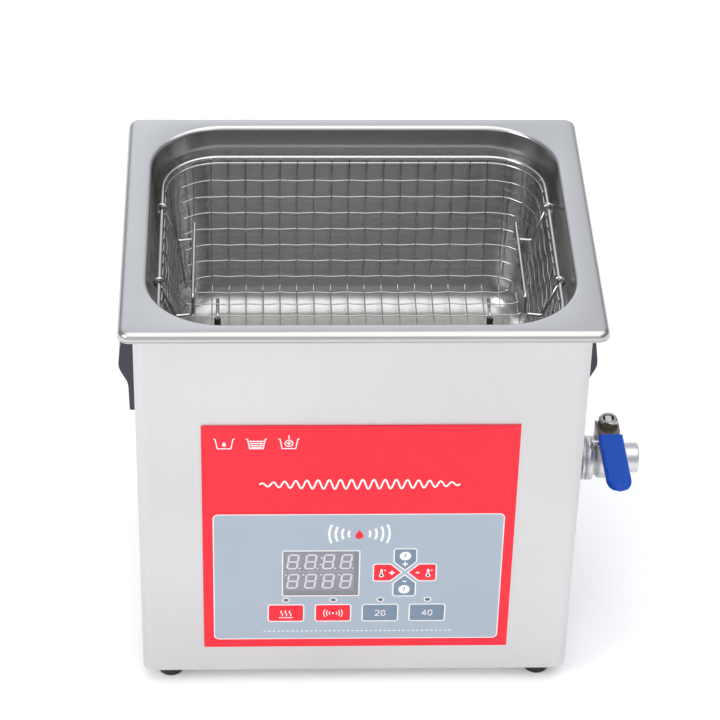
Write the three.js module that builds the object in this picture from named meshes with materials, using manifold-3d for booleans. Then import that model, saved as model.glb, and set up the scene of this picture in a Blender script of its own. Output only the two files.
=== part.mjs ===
// Bench-top heated ultrasonic cleaner: a deep-drawn steel tank hung in a sheet steel casing,
// with a control panel, a drain ball valve, two carrying handles and a wire basket.
// Millimetres, +Z up, front towards -Y. The origin is on the floor, under the middle of the
// whole machine's box; the tank and the casing are centred on CASING_X, because the drain
// valve stands out on the right.
import * as THREE from 'three';
import { mergeVertices } from 'three/addons/utils/BufferGeometryUtils.js';
import Module from 'manifold-3d';

const wasm = await Module();
wasm.setup();

// ---------- driving dimensions ----------
const GAP = 0.3;
const SHEET = 1;
const RIM_TOP = 322;
const FOOT_H = 12;

const RIM_HALF_X = 162.5;
const RIM_HALF_Y = 132.5;
const RIM_CORNER = 9;
const LIP_R = 5;
const LIP_DROP = 6.6;
const MOUTH_HALF_X = 147;
const MOUTH_HALF_Y = 121.5;
const MOUTH_CORNER = 54;
const MOUTH_FILLET = 3;
const SHOULDER_DEPTH = 22;
const SHOULDER_STEP = 2.2;
const TANK_DEPTH = 150;
const TANK_TAPER = 9.3;
const FLOOR_FILLET = 22;

const CASE_HALF_X = 152.7;
const CASE_HALF_Y = 121.9;
const CASE_CORNER = 8;
const CASE_FOOT_FLANGE = 26;
const FOOT_X = 133;
const FOOT_Y = 105;
const FOOT_R = 9.5;

const LABEL_HALF_X = 108.25;
const LABEL_TOP = 83.3;
const LABEL_BOTTOM = 285.6;
const LABEL_THICK = 0.8;
const WINDOW_HALF_X = 65;
const WINDOW_TOP = 191;
const WINDOW_BOTTOM = 264;
const DISPLAY_X = -25.7;
const DISPLAY_DEPTH = 215.9;
const DISPLAY_W = 53;
const DISPLAY_H = 41.1;
const KEY_PITCH = 33.4;
const KEY_DEPTH = 253.3;
const KEY_W = 24.2;
const KEY_H = 14.8;
const CROSS_X = 33.2;
const CROSS_DEPTH = 215.4;
const CROSS_TIP = 2.8;
const CROSS_REACH = 21.6;
const KEY_CLEAR = 0.3;
const KEY_PROUD = 0.3;
const KEY_THICK = 2.1;

const BASKET_RIM_X = 136.8;
const BASKET_RIM_Y = 109.5;
const BASKET_RIM_CORNER = 40;
const BASKET_RIM_DEPTH = 20;
const BASKET_RIM_WIRE = 3;
const BASKET_FLOOR_DEPTH = 130;
const BASKET_FLOOR_X = 127;
const BASKET_FLOOR_Y = 101;
const BASKET_SKIN = 0.5;
const BASKET_FACE_HALF = 108;
const BASKET_SIDE_HALF = 78;
const BASKET_FOOT_X = 100.65;
const BASKET_FOOT_SHIFT = 1.75;
const BASKET_FOOT_Y = 68;
const BASKET_FOOT_REACH = 87.5;
const BASKET_FOOT_WIRE = 2.8;
const BASKET_TIP_R = 2.45;
const BASKET_TIP_H = 15.2;
const BAIL_HALF_Y = 45;
const BAIL_WIRE = 2.4;
const BAIL_EYE_R = 3.1;
const BAIL_NOTCH = 4.4;

const HANDLE_HALF_Y = 58;
const HANDLE_TOP = 45;
const HANDLE_BOTTOM = 120.3;
const HANDLE_END_WALL = 7;
const HANDLE_POCKET_DEPTH = 9;

const DRAIN_X = 90;
const DRAIN_R = 10.25;
const DRAIN_BORE_R = 7.2;
const VALVE_DEPTH = 212.5;
const VALVE_END_X = 210.5;
const VALVE_COLLAR_X = 168.3;
const STEM_X = 186.5;
const LEVER_REST_TURN = THREE.MathUtils.degToRad(1.2);
const STEM_R = 3.8;
const STEM_BORE_R = 4.1;
const STEM_TOP = 37;
const LEVER_HEIGHT = 30.2;
const LEVER_PLATE = 2;
const SLEEVE_START = 14.4;
const SLEEVE_END = 75;
const SLEEVE_W = 18.4;
const SLEEVE_THICK = 5;

const TRANSDUCER_X = 60;
const TRANSDUCER_Y = 45;
const FAN_X = -75;
const FAN_Z = 68;
const FAN_SIZE = 80;
const FAN_THICK = 25;
const SOCKET_X = 95;
const SOCKET_Z = 48;
const SWITCH_Z = 88;
const ROCKER_TILT = THREE.MathUtils.degToRad(-10);

// The machine reaches VALVE_END_X on the right and HANDLE_REACH on the left.
const HANDLE_REACH = CASE_HALF_X + 0.2 + 13;
const CASING_X = (HANDLE_REACH - VALVE_END_X) / 2;

// ---------- materials ----------
function steel(color, roughness = 0.3) {
  return new THREE.MeshStandardMaterial({ color, roughness, metalness: 1 });
}

function plastic(color, roughness = 0.5) {
  return new THREE.MeshStandardMaterial({ color, roughness, metalness: 0 });
}

const tankSteel = steel(0xcdd2de, 0.28);
const caseSteel = steel(0xe6e6e6, 0.42);
const wireSteel = steel(0xd8d8da, 0.18);
const castSteel = steel(0xc9cacc, 0.35);
const leverSteel = steel(0x9b948c, 0.35);
const rubber = plastic(0x16171a, 0.8);
const handlePlastic = plastic(0x3b4150, 0.45);
const labelRed = plastic(0xf5384b, 0.35);
const keyRed = plastic(0xe8404f, 0.4);
const keyGrey = plastic(0x7d8fa3, 0.4);
const displayGrey = plastic(0x82888f, 0.25);
const sleeveBlue = plastic(0x0a45b5, 0.35);
const boardGreen = plastic(0x1d6b3c, 0.5);
const blackPlastic = plastic(0x1c1d20, 0.5);
const aluminium = steel(0xb9bcc0, 0.4);
const heaterOrange = plastic(0xc4622d, 0.6);
const valveSteel = steel(0xbfc1c4, 0.25);
const redRocker = plastic(0xd02028, 0.3);

// ---------- geometry helpers ----------

// Welds a geometry's vertices and turns its faces outwards.
function closed(geometry) {
  let bare = geometry.index ? geometry.toNonIndexed() : geometry.clone();
  bare.deleteAttribute('normal');
  bare.deleteAttribute('uv');
  bare = mergeVertices(bare, 1e-4);
  const p = bare.attributes.position;
  const index = bare.index.array;
  const a = new THREE.Vector3();
  const b = new THREE.Vector3();
  const c = new THREE.Vector3();
  let volume = 0;
  for (let i = 0; i < index.length; i += 3) {
    a.fromBufferAttribute(p, index[i]);
    b.fromBufferAttribute(p, index[i + 1]);
    c.fromBufferAttribute(p, index[i + 2]);
    volume += a.dot(b.cross(c));
  }
  if (volume < 0) {
    for (let i = 0; i < index.length; i += 3) {
      [index[i], index[i + 1]] = [index[i + 1], index[i]];
    }
  }
  return bare;
}

function solid(geometry) {
  const g = closed(geometry);
  return new wasm.Manifold(new wasm.Mesh({
    numProp: 3,
    vertProperties: new Float32Array(g.attributes.position.array),
    triVerts: new Uint32Array(g.index.array),
  }));
}

function fromSolid(manifold) {
  const mesh = manifold.getMesh();
  const g = new THREE.BufferGeometry();
  g.setAttribute('position', new THREE.BufferAttribute(mesh.vertProperties, 3));
  g.setIndex(new THREE.BufferAttribute(mesh.triVerts, 1));
  return g;
}

function join(...parts) {
  return fromSolid(parts.map(solid).reduce((sum, next) => sum.add(next)));
}

function cut(base, ...tools) {
  return fromSolid(tools.map(solid).reduce((left, tool) => left.subtract(tool), solid(base)));
}

function keep(base, tool) {
  return fromSolid(solid(base).intersect(solid(tool)));
}

function box(x0, x1, y0, y1, z0, z1) {
  const g = new THREE.BoxGeometry(x1 - x0, y1 - y0, z1 - z0);
  return g.translate((x0 + x1) / 2, (y0 + y1) / 2, (z0 + z1) / 2);
}

// A cylinder between two values along one axis, centred on the other two coordinates.
function rod(axis, radius, from, to, centre, segments = 24) {
  const g = new THREE.CylinderGeometry(radius, radius, to - from, segments);
  const middle = (from + to) / 2;
  if (axis === 'x') return g.rotateZ(-Math.PI / 2).translate(middle, centre[0], centre[1]);
  if (axis === 'y') return g.translate(centre[0], middle, centre[1]);
  return g.rotateX(Math.PI / 2).translate(centre[0], centre[1], middle);
}

// A solid of revolution about Z, from [radius, height] pairs that start and end on the axis.
function turned(profile, segments = 24) {
  const points = profile.map(([r, z]) => new THREE.Vector2(r, z));
  return new THREE.LatheGeometry(points, segments).rotateX(Math.PI / 2);
}

// The outline of a rectangle with round corners, anticlockwise.
function roundedRect(halfX, halfY, radius, steps = 5) {
  const points = [];
  for (let corner = 0; corner < 4; corner += 1) {
    const signX = corner === 0 || corner === 3 ? 1 : -1;
    const signY = corner < 2 ? 1 : -1;
    for (let i = 0; i <= steps; i += 1) {
      const angle = (corner + i / steps) * Math.PI / 2;
      points.push(new THREE.Vector2(
        signX * (halfX - radius) + radius * Math.cos(angle),
        signY * (halfY - radius) + radius * Math.sin(angle),
      ));
    }
  }
  return points;
}

// A flat plate of an outline, with holes, standing from z0 to z1.
function plate(outline, z0, z1, holes = []) {
  const shape = new THREE.Shape(outline);
  shape.holes = holes.map((hole) => new THREE.Path(hole));
  const g = new THREE.ExtrudeGeometry(shape, { depth: z1 - z0, bevelEnabled: false });
  return g.translate(0, 0, z0);
}

// Turns a plate drawn in XY into one that stands in XZ, its thickness along Y:
// a point's x stays, its y becomes z, and its z becomes -y.
function standing(g) {
  return g.rotateX(Math.PI / 2);
}

function moved(outline, x, y) {
  return outline.map((p) => new THREE.Vector2(p.x + x, p.y + y));
}

// Skins a list of rings with equal point counts. Open lists are capped by fans; a looped
// list joins its last ring to its first.
function loft(rings, looped = false) {
  const count = rings[0].length;
  const positions = rings.flat().flatMap((p) => [p.x, p.y, p.z]);
  const index = [];
  const last = looped ? rings.length : rings.length - 1;
  for (let r = 0; r < last; r += 1) {
    const next = (r + 1) % rings.length;
    for (let i = 0; i < count; i += 1) {
      const j = (i + 1) % count;
      index.push(r * count + i, r * count + j, next * count + j);
      index.push(r * count + i, next * count + j, next * count + i);
    }
  }
  if (!looped) {
    for (const [r, flip] of [[0, true], [rings.length - 1, false]]) {
      const centre = new THREE.Vector3();
      rings[r].forEach((p) => centre.addScaledVector(p, 1 / count));
      const hub = positions.length / 3;
      positions.push(centre.x, centre.y, centre.z);
      for (let i = 0; i < count; i += 1) {
        const j = (i + 1) % count;
        index.push(hub, r * count + (flip ? j : i), r * count + (flip ? i : j));
      }
    }
  }
  const g = new THREE.BufferGeometry();
  g.setAttribute('position', new THREE.Float32BufferAttribute(positions, 3));
  g.setIndex(index);
  return closed(g);
}

// A ring of the rounded rectangle [halfX, halfY, radius] at one height.
function level([halfX, halfY, radius, z]) {
  return roundedRect(halfX, halfY, radius).map((p) => new THREE.Vector3(p.x, p.y, z));
}

// A polyline whose inner corners are replaced by arcs of a radius.
function bend(points, radius, steps = 4) {
  const path = [points[0]];
  for (let i = 1; i < points.length - 1; i += 1) {
    const back = points[i - 1].clone().sub(points[i]).normalize();
    const on = points[i + 1].clone().sub(points[i]).normalize();
    const half = back.angleTo(on) / 2;
    const start = points[i].clone().addScaledVector(back, radius / Math.tan(half));
    const end = points[i].clone().addScaledVector(on, radius / Math.tan(half));
    const curve = new THREE.QuadraticBezierCurve3(start, points[i], end);
    path.push(...curve.getPoints(steps));
  }
  path.push(points[points.length - 1]);
  return path;
}

// A round wire along a path, with flat ends.
function wire(path, radius, sides = 6) {
  const rings = [];
  const across = new THREE.Vector3();
  let lastTangent = null;
  path.forEach((point, i) => {
    const before = path[Math.max(i - 1, 0)];
    const after = path[Math.min(i + 1, path.length - 1)];
    const tangent = after.clone().sub(before).normalize();
    if (lastTangent === null) {
      const aside = Math.abs(tangent.z) < 0.9 ? new THREE.Vector3(0, 0, 1) : new THREE.Vector3(1, 0, 0);
      across.crossVectors(tangent, aside).normalize();
    } else {
      const turn = new THREE.Quaternion().setFromUnitVectors(lastTangent, tangent);
      across.applyQuaternion(turn);
    }
    lastTangent = tangent;
    const up = new THREE.Vector3().crossVectors(tangent, across);
    const ring = [];
    for (let k = 0; k < sides; k += 1) {
      const angle = k / sides * Math.PI * 2;
      ring.push(point.clone()
        .addScaledVector(across, radius * Math.cos(angle))
        .addScaledVector(up, radius * Math.sin(angle)));
    }
    rings.push(ring);
  });
  return loft(rings);
}

function vec(x, y, z) {
  return new THREE.Vector3(x, y, z);
}

// A hexagonal block across flats, between two values along X or Z.
function hexagon(axis, acrossFlats, from, to, centre) {
  const radius = acrossFlats / Math.sqrt(3);
  const g = new THREE.CylinderGeometry(radius, radius, to - from, 6);
  const middle = (from + to) / 2;
  if (axis === 'x') return g.rotateZ(-Math.PI / 2).rotateX(Math.PI / 2).translate(middle, ...centre);
  return g.rotateX(Math.PI / 2).translate(...centre, middle);
}

// ---------- the machine ----------
const machine = new THREE.Group();
const body = new THREE.Group();
body.position.x = CASING_X;
machine.add(body);

function add(name, geometry, material, parent = body) {
  const mesh = new THREE.Mesh(closed(geometry), material.clone());
  mesh.name = name;
  parent.add(mesh);
  return mesh;
}

// Tank: floor, filleted and tapered walls, a stacking shoulder, a flat rim and a rolled lip.
function tankSkin(grow) {
  const wallX = MOUTH_HALF_X - MOUTH_FILLET - SHOULDER_STEP + grow;
  const wallY = MOUTH_HALF_Y - MOUTH_FILLET - SHOULDER_STEP + grow;
  const wallCorner = MOUTH_CORNER - MOUTH_FILLET - SHOULDER_STEP + grow;
  const floorZ = RIM_TOP - TANK_DEPTH - grow;
  const fillet = FLOOR_FILLET + grow;
  const rings = [];
  for (let i = 0; i <= 4; i += 1) {
    const angle = i / 4 * Math.PI / 2;
    const inset = TANK_TAPER + fillet * (1 - Math.sin(angle));
    const z = floorZ + fillet * (1 - Math.cos(angle));
    rings.push([wallX - inset, wallY - inset, wallCorner - inset, z]);
  }
  const shoulderZ = RIM_TOP - SHOULDER_DEPTH;
  rings.push([wallX, wallY, wallCorner, shoulderZ - 1]);
  const neckX = wallX + SHOULDER_STEP;
  const neckY = wallY + SHOULDER_STEP;
  const neckCorner = wallCorner + SHOULDER_STEP;
  rings.push([neckX - 0.3, neckY - 0.3, neckCorner - 0.3, shoulderZ + 0.3]);
  const round = MOUTH_FILLET - grow;
  for (let i = 0; i <= 2; i += 1) {
    const angle = i / 2 * Math.PI / 2;
    const out = round * (1 - Math.cos(angle));
    const z = RIM_TOP - grow - round * (1 - Math.sin(angle));
    rings.push([neckX + out, neckY + out, neckCorner + out, z]);
  }
  return rings;
}

function lipSkin(grow) {
  const rings = [];
  for (let i = 0; i <= 3; i += 1) {
    const angle = i / 3 * Math.PI / 2;
    const out = (LIP_R - grow) * Math.sin(angle);
    const inset = LIP_R - out;
    const z = RIM_TOP - grow - (LIP_R - grow) * (1 - Math.cos(angle));
    rings.push([RIM_HALF_X - inset, RIM_HALF_Y - inset, RIM_CORNER - inset, z]);
  }
  const edge = grow;
  rings.push([RIM_HALF_X - edge, RIM_HALF_Y - edge, RIM_CORNER - edge, RIM_TOP - LIP_DROP]);
  return rings;
}

function makeTank() {
  const inside = [...tankSkin(0), ...lipSkin(0)];
  const outside = [...tankSkin(SHEET), ...lipSkin(SHEET)].reverse();
  const shell = loft([...inside, ...outside].map(level));
  const hole = rod('z', DRAIN_R + GAP, RIM_TOP - TANK_DEPTH - 5, RIM_TOP - TANK_DEPTH + 5, [DRAIN_X, 0]);
  return cut(shell, hole);
}

// Casing: a sheet steel sleeve with a turned-in bottom flange and cut-outs.
function makeCasing() {
  const top = RIM_TOP - SHEET - GAP;
  const outer = roundedRect(CASE_HALF_X, CASE_HALF_Y, CASE_CORNER);
  const inner = roundedRect(CASE_HALF_X - SHEET, CASE_HALF_Y - SHEET, CASE_CORNER - SHEET);
  const hole = roundedRect(CASE_HALF_X - CASE_FOOT_FLANGE, CASE_HALF_Y - CASE_FOOT_FLANGE, 6);
  const walls = plate(outer, FOOT_H, top, [inner]);
  const flange = plate(outer, FOOT_H, FOOT_H + SHEET, [hole]);
  const front = -CASE_HALF_Y;
  const back = CASE_HALF_Y;
  const tools = [
    box(-WINDOW_HALF_X, WINDOW_HALF_X, front - 5, front + 5,
      RIM_TOP - WINDOW_BOTTOM, RIM_TOP - WINDOW_TOP),
    rod('y', FAN_SIZE / 2 - 3, back - 5, back + 5, [FAN_X, FAN_Z], 32),
    box(SOCKET_X - 14.5, SOCKET_X + 14.5, back - 5, back + 5, SOCKET_Z - 14, SOCKET_Z + 14),
    box(SOCKET_X - 14.5, SOCKET_X + 14.5, back - 5, back + 5, SWITCH_Z - 10.5, SWITCH_Z + 10.5),
    rod('x', DRAIN_R + 0.4, CASE_HALF_X - 5, CASE_HALF_X + 5, [0, RIM_TOP - VALVE_DEPTH]),
  ];
  for (const side of [-1, 1]) {
    const x = side * CASE_HALF_X;
    const reach = HANDLE_HALF_Y - HANDLE_END_WALL + 2.5;
    tools.push(box(x - 5, x + 5, -reach, reach,
      RIM_TOP - HANDLE_BOTTOM + 3.5, RIM_TOP - HANDLE_TOP - 3));
  }
  return cut(join(walls, flange), ...tools);
}

function makeBasePlate() {
  const z = FOOT_H + SHEET + GAP;
  const outer = roundedRect(CASE_HALF_X - 3, CASE_HALF_Y - 3, 5);
  const slots = [];
  for (let row = -1; row <= 1; row += 2) {
    for (let i = 0; i < 8; i += 1) {
      slots.push(moved(roundedRect(2, 22, 1, 1), -70 + i * 20, row * 45));
    }
  }
  return plate(outer, z, z + 1.2, slots);
}

function makeFoot() {
  return turned([[0, 0], [8.4, 0], [FOOT_R - 0.2, 1.4], [FOOT_R, 9.8], [FOOT_R - 1, FOOT_H - GAP],
    [0, FOOT_H - GAP]], 20);
}

// Keys: four house-shaped ones in a cross, their points inwards, and a row of four oblong ones.
function houseOutline(grow) {
  const half = KEY_H / 2;
  const tip = CROSS_TIP - grow * Math.SQRT2;
  const shoulder = CROSS_TIP + half - grow * (Math.SQRT2 - 1);
  return [
    new THREE.Vector2(0, tip),
    new THREE.Vector2(half + grow, shoulder),
    new THREE.Vector2(half + grow, CROSS_REACH + grow),
    new THREE.Vector2(-half - grow, CROSS_REACH + grow),
    new THREE.Vector2(-half - grow, shoulder),
  ];
}

function turnedOutline(outline, quarter) {
  const angle = quarter * Math.PI / 2;
  return outline.map((p) => p.clone().rotateAround(new THREE.Vector2(0, 0), angle));
}

const keys = [];
['clock_plus', 'heat_plus', 'clock_minus', 'heat_minus'].forEach((name, quarter) => {
  const outline = (grow) => moved(
    turnedOutline(houseOutline(grow), quarter), CROSS_X, RIM_TOP - CROSS_DEPTH);
  keys.push({ name: `key_${name}`, outline, colour: quarter % 2 ? keyRed : keyGrey });
});
['heating', 'ultrasonic', 'mode_low', 'mode_high'].forEach((name, i) => {
  const x = (i - 1.5) * KEY_PITCH;
  const outline = (grow) => moved(
    roundedRect(KEY_W / 2 + grow, KEY_H / 2 + grow, 1.2 + grow, 2), x, RIM_TOP - KEY_DEPTH);
  keys.push({ name: `key_${name}`, outline, colour: i < 2 ? keyRed : keyGrey });
});

const labelBack = CASE_HALF_Y + 0.1;
const labelFace = labelBack + LABEL_THICK;

function makeLabel() {
  const middle = RIM_TOP - (LABEL_TOP + LABEL_BOTTOM) / 2;
  const outer = moved(roundedRect(LABEL_HALF_X, (LABEL_BOTTOM - LABEL_TOP) / 2, 0.6, 1), 0, middle);
  const display = moved(roundedRect(DISPLAY_W / 2 + KEY_CLEAR, DISPLAY_H / 2 + KEY_CLEAR, 0.5, 1),
    DISPLAY_X, RIM_TOP - DISPLAY_DEPTH);
  const holes = keys.map((key) => key.outline(KEY_CLEAR));
  return standing(plate(outer, labelBack, labelFace, [display, ...holes]));
}

function makeKey(key) {
  const face = labelFace + KEY_PROUD;
  return standing(plate(key.outline(0), face - KEY_THICK, face));
}

// Control board behind the window, with a tactile switch behind each key and four posts.
function makeControlBoard() {
  const face = 116;
  const pieces = [box(-71, 71, -face, -face + 1.6, RIM_TOP - 270, RIM_TOP - 186)];
  for (const x of [-68, 68]) {
    for (const depth of [267, 189]) {
      pieces.push(rod('y', 1.9, -CASE_HALF_Y + SHEET + GAP, -face + 0.5, [x, RIM_TOP - depth], 8));
    }
  }
  for (const key of keys) {
    const outline = key.outline(0);
    const x = outline.reduce((sum, p) => sum + p.x, 0) / outline.length;
    const z = outline.reduce((sum, p) => sum + p.y, 0) / outline.length;
    pieces.push(box(x - 3, x + 3, -120.2, -face + 0.5, z - 3, z + 3));
  }
  for (let i = 0; i < 4; i += 1) {
    pieces.push(rod('y', 1.5, -121.2, -face + 0.5, [(i - 1.5) * KEY_PITCH, RIM_TOP - 240.9], 8));
  }
  return join(...pieces);
}

function makeDisplay() {
  const z = RIM_TOP - DISPLAY_DEPTH;
  const lens = box(DISPLAY_X - DISPLAY_W / 2, DISPLAY_X + DISPLAY_W / 2, -labelFace + 0.1, -118,
    z - DISPLAY_H / 2, z + DISPLAY_H / 2);
  const block = box(DISPLAY_X - 24, DISPLAY_X + 24, -119, -116 - GAP, z - 16, z + 16);
  return join(lens, block);
}

// Power electronics on the base plate.
const plateTop = FOOT_H + SHEET + GAP + 1.2;

function makeGeneratorBoard() {
  const z = plateTop + 10;
  const pieces = [box(-135, -25, -95, 5, z, z + 1.6)];
  for (const x of [-130, -30]) {
    for (const y of [-90, 0]) pieces.push(rod('z', 3, plateTop + GAP, z + 0.5, [x, y], 8));
  }
  for (let i = 0; i < 3; i += 1) pieces.push(rod('z', 8, z + 1, z + 32, [-115 + i * 22, -75], 12));
  for (let i = 0; i < 2; i += 1) pieces.push(rod('z', 13, z + 1, z + 18, [-110 + i * 36, -35], 16));
  pieces.push(box(-60, -32, -60, -30, z + 1, z + 22));
  return join(...pieces);
}

function makeHeatsink() {
  const z = plateTop + GAP;
  const pieces = [box(-125, -25, 20, 60, z, z + 6)];
  for (let i = 0; i < 9; i += 1) {
    const x = -123 + i * 12;
    pieces.push(box(x - 1, x + 1, 20.5, 59.5, z + 5, z + 38));
  }
  return join(...pieces);
}

// A bolted Langevin transducer, bonded under the tank floor.
function makeTransducer() {
  const z = RIM_TOP - TANK_DEPTH - SHEET - GAP;
  return turned([[0, z], [22.5, z], [22.5, z - 4], [17.5, z - 20], [17.5, z - 22], [19, z - 22],
    [19, z - 33], [17.5, z - 33], [17.5, z - 50], [6.5, z - 50], [6.5, z - 55], [0, z - 55]], 16);
}

// Drain: a flanged fitting through the tank floor, a bend, a seal and a nut at the wall.
const valveZ = RIM_TOP - VALVE_DEPTH;
const floorTop = RIM_TOP - TANK_DEPTH;

function makeDrainFitting() {
  const low = floorTop - 20;
  const points = [[DRAIN_BORE_R, low], [DRAIN_R, low], [DRAIN_R, floorTop + 0.2],
    [17, floorTop + 0.2], [16.4, floorTop + 1.8], [DRAIN_BORE_R, floorTop + 1.8], [DRAIN_BORE_R, low]];
  return turned(points).translate(DRAIN_X, 0, 0);
}

function makeDrainElbow() {
  const route = (start, end) => bend(
    [vec(DRAIN_X, 0, start), vec(DRAIN_X, 0, valveZ), vec(end, 0, valveZ)], 16, 6);
  const top = floorTop - 20 - GAP;
  const outside = wire(route(top, VALVE_COLLAR_X - GAP), DRAIN_R, 14);
  const inside = wire(route(top + 1, VALVE_COLLAR_X + 1), DRAIN_BORE_R, 14);
  return cut(outside, inside);
}

function ring(outer, inner, from, to, segments = 24) {
  const tube = rod('x', outer, from, to, [0, valveZ], segments);
  return cut(tube, rod('x', inner, from - 1, to + 1, [0, valveZ], segments));
}

function makeLockNut() {
  const from = CASE_HALF_X + 2.6;
  const nut = hexagon('x', 29, from, from + 9, [0, valveZ]);
  return cut(nut, rod('x', DRAIN_R + GAP, from - 1, from + 10, [0, valveZ]));
}

// Valve body: inlet collar, round middle with a flared neck and stop plate, smooth outlet.
function makeValveBody() {
  const turnedPart = turned([[0, 176], [12.4, 176], [12.4, 178], [14.2, 179.2], [15.3, 182],
    [15.3, 193], [14.2, 196.5], [11.2, 199.5], [11.2, VALVE_END_X - 0.8], [10.4, VALVE_END_X],
    [0, VALVE_END_X]], 24).rotateY(Math.PI / 2).translate(0, 0, valveZ);
  const collar = rod('x', 16.5, VALVE_COLLAR_X, 176.7, [0, valveZ]);
  const neck = turned([[0, 6], [7, 6], [7, 15.5], [10.2, 21], [0, 21]], 20)
    .translate(STEM_X, 0, valveZ);
  const shelf = plate(roundedRect(12.4, 8.5, 3, 3), valveZ + 20.9, valveZ + 23.2)
    .translate(STEM_X, 0, 0);
  return cut(join(turnedPart, collar, neck, shelf),
    rod('x', DRAIN_BORE_R, VALVE_COLLAR_X - 1, VALVE_END_X + 1, [0, valveZ]),
    new THREE.SphereGeometry(11, 16, 8).translate(STEM_X, 0, valveZ),
    rod('z', STEM_BORE_R, valveZ, valveZ + 26, [STEM_X, 0], 16));
}

function makeBall() {
  const ball = new THREE.SphereGeometry(10.4, 16, 8);
  const bore = rod('y', DRAIN_BORE_R - 0.2, -12, 12, [0, 0], 20);
  const slot = box(-1.8, 1.8, -4, 4, 8, 12);
  return cut(ball, bore, slot);
}

// Stem: a tang in the ball's slot below and two flats inside the lever nut above.
function makeStem() {
  const tang = box(-1.5, 1.5, -2.6, 2.6, 8.4, 12);
  const flats = [-1, 1].map((side) => box(...[side * 2.35, side * 6].sort((p, q) => p - q), -5, 5,
    LEVER_HEIGHT + LEVER_PLATE, STEM_TOP + 1));
  return cut(join(tang, rod('z', STEM_R, 11, STEM_TOP, [0, 0], 16)), ...flats);
}

function makePackingNut() {
  return cut(hexagon('z', 12.4, 23.5, 29.7, [0, 0]), rod('z', STEM_BORE_R, 22, 31, [0, 0], 16));
}

// Lever: a steel strap with a turned-down stop on one side of the stem.
function makeLever() {
  const low = LEVER_HEIGHT;
  const outline = new THREE.Shape();
  outline.moveTo(-7.8, 0);
  outline.absarc(0, 0, 7.8, Math.PI, 0, true);
  outline.lineTo(7.8, -9.5);
  outline.lineTo(5.5, -14);
  outline.lineTo(5.5, -SLEEVE_END + 3);
  outline.lineTo(-5.5, -SLEEVE_END + 3);
  outline.lineTo(-5.5, -14);
  outline.lineTo(-7.8, -9.5);
  outline.closePath();
  const strap = new THREE.ExtrudeGeometry(outline, {
    depth: LEVER_PLATE, bevelEnabled: false, curveSegments: 12,
  }).translate(0, 0, low);
  const stop = box(-9.2, -7.6, -10, 4, low - 6.2, low + LEVER_PLATE);
  return cut(join(strap, stop), rod('z', STEM_BORE_R, low - 1, low + 4, [0, 0], 16));
}

function makeSleeve() {
  const middle = LEVER_HEIGHT + LEVER_PLATE / 2;
  const half = SLEEVE_THICK / 2;
  const centre = -(SLEEVE_START + SLEEVE_END) / 2;
  const length = SLEEVE_END - SLEEVE_START;
  const outer = plate(roundedRect(SLEEVE_W / 2, length / 2, 5, 4), middle - half, middle + half)
    .translate(0, centre, 0);
  const slot = box(-5.8, 5.8, -SLEEVE_END + 2.6, -SLEEVE_START + 2, middle - 1.3, middle + 1.3);
  const shoulder = box(-5.9, 5.9, -17.6, -SLEEVE_START + 2, middle - 1.3, middle + 1.3);
  return cut(outer, slot, shoulder);
}

function makeLeverNut() {
  const low = LEVER_HEIGHT + LEVER_PLATE + 0.1;
  return cut(hexagon('z', 12.4, low, low + 5.2, [0, 0]), rod('z', STEM_BORE_R, low - 1, low + 7, [0, 0], 16));
}

// Mains socket and switch, snapped into the back wall.
function makeInlet() {
  const y = CASE_HALF_Y;
  const bezel = box(SOCKET_X - 16.5, SOCKET_X + 16.5, y + 0.2, y + 3.2, SOCKET_Z - 16, SOCKET_Z + 16);
  const shell = box(SOCKET_X - 14, SOCKET_X + 14, y - 30, y + 1, SOCKET_Z - 13.5, SOCKET_Z + 13.5);
  const socket = box(SOCKET_X - 12, SOCKET_X + 12, y - 16, y + 5, SOCKET_Z - 2, SOCKET_Z + 11);
  const pins = [-7, 0, 7].map((x) => box(SOCKET_X + x - 1, SOCKET_X + x + 1, y - 17, y - 3,
    SOCKET_Z + 2.5, SOCKET_Z + 6.5));
  return join(cut(join(bezel, shell), socket), ...pins);
}

function makeSwitchHousing() {
  const y = CASE_HALF_Y;
  const bezel = box(SOCKET_X - 16, SOCKET_X + 16, y + 0.2, y + 2, SWITCH_Z - 12.5, SWITCH_Z + 12.5);
  const shell = box(SOCKET_X - 14, SOCKET_X + 14, y - 20, y + 1, SWITCH_Z - 10, SWITCH_Z + 10);
  const well = box(SOCKET_X - 11.4, SOCKET_X + 11.4, y - 11, y + 5, SWITCH_Z - 8, SWITCH_Z + 8);
  return cut(join(bezel, shell), well);
}

// The rocker turns about X, on a pivot inside its well; at rest it is tilted to its off side.
function makeRocker() {
  const outline = new THREE.Shape();
  outline.moveTo(-5, -5);
  outline.lineTo(5, -5);
  outline.lineTo(7.2, 3.2);
  outline.quadraticCurveTo(0, 0.8, -7.2, 3.2);
  outline.closePath();
  const g = new THREE.ExtrudeGeometry(outline, { depth: 22, bevelEnabled: false, curveSegments: 6 });
  return g.translate(0, 0, -11).rotateY(Math.PI / 2);
}

// Cooling fan: a square frame with a round duct, a rotor of seven blades and an outer guard.
const fanFront = CASE_HALF_Y - SHEET - GAP - FAN_THICK;
const fanBack = CASE_HALF_Y - SHEET - GAP;

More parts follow.
